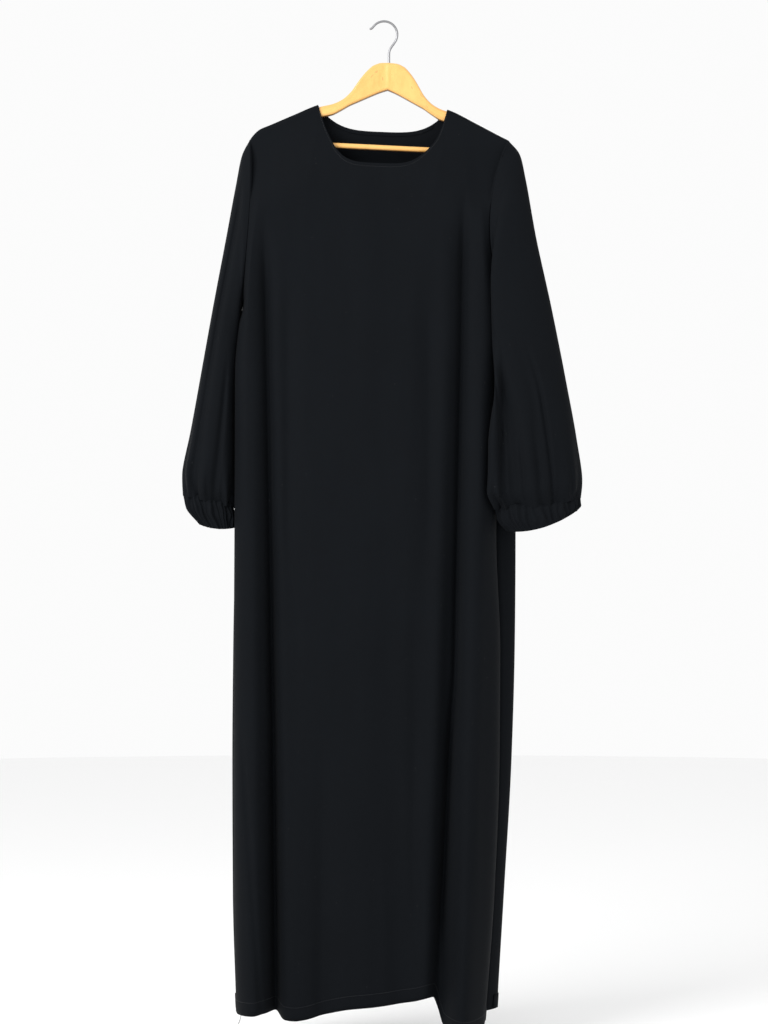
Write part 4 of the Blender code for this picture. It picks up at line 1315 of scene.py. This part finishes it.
def stitch_run(shape, points, normals, stitch, gap, width):
    """A row of stitches along a line: flat little loops of thread with gaps between them."""
    lengths = [0.0]
    for first, second in zip(points[:-1], points[1:]):
        lengths.append(lengths[-1] + (second - first).length)
    lines = [np.array([point[axis] for point in points]) for axis in range(3)]
    facing = [np.array([normal[axis] for normal in normals]) for axis in range(3)]
    at = gap * MM
    while at + stitch * MM < lengths[-1]:
        ends = [Vector([np.interp(at + s * MM, lengths, line) for line in lines]) for s in (0.0, stitch)]
        along = (ends[1] - ends[0]).normalized()
        out = Vector([np.interp(at, lengths, line) for line in facing])
        side = along.cross(out).normalized()
        out = side.cross(along)
        turn = Matrix((along, side, out)).transposed().to_4x4()
        size = Matrix.Diagonal((stitch / 2, width / 2, width / STITCH_FLATNESS, 1 / MM)) * MM
        middle = Matrix.Translation((ends[0] + ends[1]) / 2)
        bmesh.ops.create_icosphere(shape, subdivisions=1, radius=1.0, matrix=middle @ turn @ size)
        at += (stitch + gap) * MM


def panel_run(panel, start, end, belows, count, lift=0.1):
    """Points and normals of a seam line across a panel, between two columns."""
    points = []
    normals = []
    for index in range(count + 1):
        column = mix(start, end, index / count)
        below = belows(column)
        points.append(on_panel(panel, column, below, lift))
        normals.append(panel_normal(panel, column, below))
    return points, normals


def hem_below(panel, column, above):
    """How far down a column lies at a height above the hem."""
    drop = panel_point(panel, column, ROW_SPAN, False)[2]
    top = top_edge(top_across(column, panel), panel.face)[0]
    return ROW_SPAN * (drop - above - top) / (drop - top)


def make_hem(panel, settings, material):
    """The turned-up hem: a second layer inside the panel's lower edge."""
    lift = -(settings.thickness + HEM_GAP)
    columns = panel.columns

    def form(u, v):
        column = mix(HEM_INSET, columns - HEM_INSET, u)
        below = mix(hem_below(panel, column, settings.hem_width), hem_below(panel, column, 0.6), v)
        return on_panel(panel, column, below, lift)

    shape = cloth_mesh(panel.name, 4 * columns, 6, form, (0.6, settings.hem_width * MM))
    face_outwards(shape, lambda point: Vector((0.0, panel.face, 0.0)))
    made = piece(panel.name + "_hem", shape, material)
    return thicken(made, HEM_THICKNESS * MM)


def make_stitching(settings, hem_width, thread):
    """Topstitching at the neck and hem, in thread that lies on the cloth."""
    shape = bmesh.new()
    sizes = (settings.stitch, settings.stitch_gap, settings.thread_width)
    for panel, below in ((FRONT, settings.neck_stitch_front), (BACK, settings.neck_stitch_back)):
        left, right = neck_columns(panel)
        points, normals = panel_run(
            panel, left + NECK_STITCH_INSET, right - NECK_STITCH_INSET, lambda column: below, 160
        )
        stitch_run(shape, points, normals, *sizes)
        points, normals = panel_run(
            panel, HEM_STITCH_INSET, panel.columns - HEM_STITCH_INSET,
            lambda column: hem_below(panel, column, hem_width - HEM_STITCH_DOWN), 8 * panel.columns,
        )
        stitch_run(shape, points, normals, *sizes)
    return piece("stitching", shape, thread)


def tube_through(points, radius, around=8):
    """A thin round tube through points in metres, pointed at its free end."""
    last = len(points) - 1

    def form(u, v):
        index = round(v * last)
        along = (points[min(index + 1, last)] - points[max(index - 1, 0)]).normalized()
        side = along.cross(Vector((0.0, 1.0, 0.02))).normalized()
        out = along.cross(side)
        turn = 2.0 * math.pi * u
        size = radius * MM * (0.35 if index == last else 1.0)
        return points[index] + size * (math.cos(turn) * side + math.sin(turn) * out)

    shape = cloth_mesh("thread", around, last, form, (0.001, 0.02), wraps=True)
    close_ends(shape)
    return shape


def make_sleeve(sleeve, settings, cloth, body):
    last = len(sleeve.rings)

    def place_of(v):
        return last * (1.0 - (1.0 - v) ** 1.25)

    def form(u, v):
        return world(*sleeve_point(sleeve, place_of(v), 2.0 * math.pi * u, body))

    shape = cloth_mesh(sleeve.name, *SLEEVE_GRID, form, sleeve.flat, wraps=True)
    rows = sleeve_rows(sleeve)

    def outward(point):
        nearest = min(rows, key=lambda row: abs((row.outer_drop + row.inner_drop) / 2 + point.z / MM))
        middle = ring_middle(nearest)[0]
        return Vector((point.x - middle[0] * MM, point.y - nearest.y * MM, 0.0)).normalized()

    face_outwards(shape, outward)
    made = piece(sleeve.name + "_cloth", shape, cloth, [sleeve.name])
    thicken(made, settings.thickness * MM)
    return made


def make_cuff(cuff, settings, cloth):
    def form(u, v):
        return world(*cuff_point(cuff, mix(-CUFF_TUCK_ROWS, 2.0, v), 2.0 * math.pi * u))

    shape = cloth_mesh(cuff.name, *CUFF_GRID, form, cuff.flat, wraps=True)
    middle = ring_middle(cuff.rows[1])[0]
    centre = Vector((middle[0], cuff.rows[1].y, -middle[1])) * MM
    face_outwards(shape, lambda point: (point - centre).normalized())
    made = piece(cuff.name + "_cloth", shape, cloth, [cuff.name])
    thicken(made, settings.thickness * MM)
    return made


def make_neck_band(settings, cloth):
    """The turned strip inside the back of the neck."""
    left, right = neck_columns(BACK)
    lift = -(settings.thickness + HEM_GAP)

    def form(u, v):
        column = mix(left + BAND_INSET, right - BAND_INSET, u)
        return on_panel(BACK, column, mix(BAND_TOP, NECK_BAND_WIDTH, v), lift)

    shape = cloth_mesh("neck_band", *BAND_GRID, form, BAND_SHOWN)
    face_outwards(shape, lambda point: Vector((0.0, 1.0, 0.0)))
    made = piece("neck_band_cloth", shape, cloth, ["neck_band"])
    thicken(made, BAND_THICKNESS * MM)
    return made


def make_loose_threads(thread):
    """Ends of thread that hang from the hem."""
    for row in LOOSE_THREADS:
        start = Vector(panel_point(FRONT, row.column, ROW_SPAN, False))
        points = []
        for index in range(THREAD_STEPS + 1):
            t = index / THREAD_STEPS
            x = start.x + row.lean * t + 1.2 * math.sin(5.0 * t)
            y = start.y + 1.5 * math.sin(3.0 * t)
            points.append(world(x, y, start.z + row.length * (t - THREAD_INSIDE)))
        piece(row.name, tube_through(points, THREAD_RADIUS), thread)


# Stage


def make_floor(settings):
    shape = bmesh.new()
    bmesh.ops.create_circle(shape, segments=96, radius=FLOOR_RADIUS, cap_ends=True)
    bmesh.ops.translate(shape, verts=shape.verts, vec=(0.0, 0.0, FLOOR_DROP))
    mesh = bpy.data.meshes.new("floor")
    shape.to_mesh(mesh)
    shape.free()
    floor = bpy.data.objects.new("floor", mesh)
    bpy.context.scene.collection.objects.link(floor)
    made, _, shader = new_material("plain floor")
    shader.inputs["Base Color"].default_value = opaque(settings.floor_colour)
    shader.inputs["Roughness"].default_value = 0.9
    mesh.materials.append(made)


def make_light(settings):
    world_light = bpy.data.worlds.new("soft surroundings")
    world_light.use_nodes = True
    background = world_light.node_tree.nodes["Background"]
    background.inputs["Color"].default_value = opaque(settings.world_colour)
    background.inputs["Strength"].default_value = settings.world_strength
    bpy.context.scene.world = world_light
    bpy.context.scene.view_settings.view_transform = "Standard"
    for row in LAMPS:
        lamp = bpy.data.lights.new(row.name, "AREA")
        lamp.energy = getattr(settings, row.power_setting)
        lamp.size = row.size
        made = bpy.data.objects.new(row.name, lamp)
        made.location = row.place
        made.rotation_mode = "QUATERNION"
        made.rotation_quaternion = (AIM - Vector(row.place)).to_track_quat("-Z", "Y")
        bpy.context.scene.collection.objects.link(made)


def make_camera(settings):
    """Looks straight at the middle of the photograph's frame, which is taken at the hanger."""
    lens = bpy.data.cameras.new("camera")
    lens.sensor_fit = "VERTICAL"
    lens.sensor_height = 24.0
    lens.lens = lens.sensor_height * settings.distance / FRAME_HEIGHT
    camera = bpy.data.objects.new("camera", lens)
    camera.location = (0.0, -settings.distance, FRAME_MIDDLE)
    camera.rotation_euler = (math.pi / 2, 0.0, 0.0)
    bpy.context.scene.collection.objects.link(camera)
    bpy.context.scene.camera = camera


# Operators


def finish_of(name, make, settings):
    """The material of that name, made the first time it is asked for."""
    return bpy.data.materials.get(name) or make(settings)


def cloth_of(scene):
    return finish_of("black crepe", crepe_material, scene.abaya_cloth)


def thread_of(scene):
    return finish_of("black thread", thread_material, scene.abaya_stitches)


class ABAYA_OT_stage(bpy.types.Operator):
    """Makes the floor, the light and the camera"""

    bl_idname = "abaya.stage"
    bl_label = "Stage"

    def execute(self, context):
        settings = context.scene.abaya_stage
        make_floor(settings)
        make_light(settings)
        make_camera(settings)
        return {"FINISHED"}


class ABAYA_OT_hanger(bpy.types.Operator):
    """Makes the wooden arms, the bar and the wire hook"""

    bl_idname = "abaya.hanger"
    bl_label = "Hanger"

    def execute(self, context):
        settings = context.scene.abaya_hanger
        wood = finish_of("lacquered wood", wood_material, settings)
        chrome = finish_of("chrome wire", chrome_material, settings)
        make_hanger(settings, wood, chrome)
        return {"FINISHED"}


class ABAYA_OT_panels(bpy.types.Operator):
    """Makes the front and the back with their turned-up hems"""

    bl_idname = "abaya.panels"
    bl_label = "Front and back"

    def execute(self, context):
        settings = context.scene.abaya_cloth
        cloth = cloth_of(context.scene)
        for panel in (FRONT, BACK):
            make_panel(panel, cloth, settings.thickness * MM)
        for panel in (FRONT, BACK):
            make_hem(panel, settings, cloth)
        return {"FINISHED"}


class ABAYA_OT_neck_band(bpy.types.Operator):
    """Makes the turned strip inside the back of the neck"""

    bl_idname = "abaya.neck_band"
    bl_label = "Neck band"

    def execute(self, context):
        make_neck_band(context.scene.abaya_cloth, cloth_of(context.scene))
        return {"FINISHED"}


class ABAYA_OT_sleeves(bpy.types.Operator):
    """Makes both balloon sleeves"""

    bl_idname = "abaya.sleeves"
    bl_label = "Sleeves"

    def execute(self, context):
        body = BodySurface(FRONT, *SLEEVE_DROPS)
        for sleeve in (LEFT, RIGHT):
            make_sleeve(sleeve, context.scene.abaya_cloth, cloth_of(context.scene), body)
        return {"FINISHED"}


class ABAYA_OT_cuffs(bpy.types.Operator):
    """Makes both gathered elastic cuffs"""

    bl_idname = "abaya.cuffs"
    bl_label = "Cuffs"

    def execute(self, context):
        for cuff in (LEFT_CUFF_PIECE, RIGHT_CUFF_PIECE):
            make_cuff(cuff, context.scene.abaya_cloth, cloth_of(context.scene))
        return {"FINISHED"}


class ABAYA_OT_stitching(bpy.types.Operator):
    """Makes the topstitching and the loose ends of thread"""

    bl_idname = "abaya.stitching"
    bl_label = "Stitching"

    def execute(self, context):
        scene = context.scene
        settings = scene.abaya_stitches
        settings_of_cloth = scene.abaya_cloth
        make_stitching(settings, settings_of_cloth.hem_width, thread_of(scene))
        make_loose_threads(thread_of(scene))
        return {"FINISHED"}


class ABAYA_PT_panel(bpy.types.Panel):
    """Lists the pieces of the abaya and their settings"""

    bl_idname = "ABAYA_PT_panel"
    bl_label = "Abaya"
    bl_space_type = "VIEW_3D"
    bl_region_type = "UI"
    bl_category = "Abaya"

    def draw(self, context):
        for operator in OPERATORS:
            self.layout.operator(operator.bl_idname)
        for name in SETTINGS:
            box = self.layout.box()
            group = getattr(context.scene, name)
            for label in group.__annotations__:
                box.prop(group, label)


OPERATORS = (
    ABAYA_OT_stage,
    ABAYA_OT_hanger,
    ABAYA_OT_panels,
    ABAYA_OT_neck_band,
    ABAYA_OT_sleeves,
    ABAYA_OT_cuffs,
    ABAYA_OT_stitching,
)
SETTINGS = {
    "abaya_cloth": AbayaClothSettings,
    "abaya_stitches": AbayaStitchSettings,
    "abaya_hanger": AbayaHangerSettings,
    "abaya_stage": AbayaStageSettings,
}


def register():
    for kind in (*SETTINGS.values(), *OPERATORS, ABAYA_PT_panel):
        bpy.utils.register_class(kind)
    for name, kind in SETTINGS.items():
        setattr(bpy.types.Scene, name, PointerProperty(type=kind))


def unregister():
    for name in SETTINGS:
        delattr(bpy.types.Scene, name)
    for kind in reversed((*SETTINGS.values(), *OPERATORS, ABAYA_PT_panel)):
        bpy.utils.unregister_class(kind)


def main():
    register()
    for operator in OPERATORS:
        getattr(bpy.ops.abaya, operator.bl_idname.split(".")[1])()


if __name__ == "__main__":
    main()
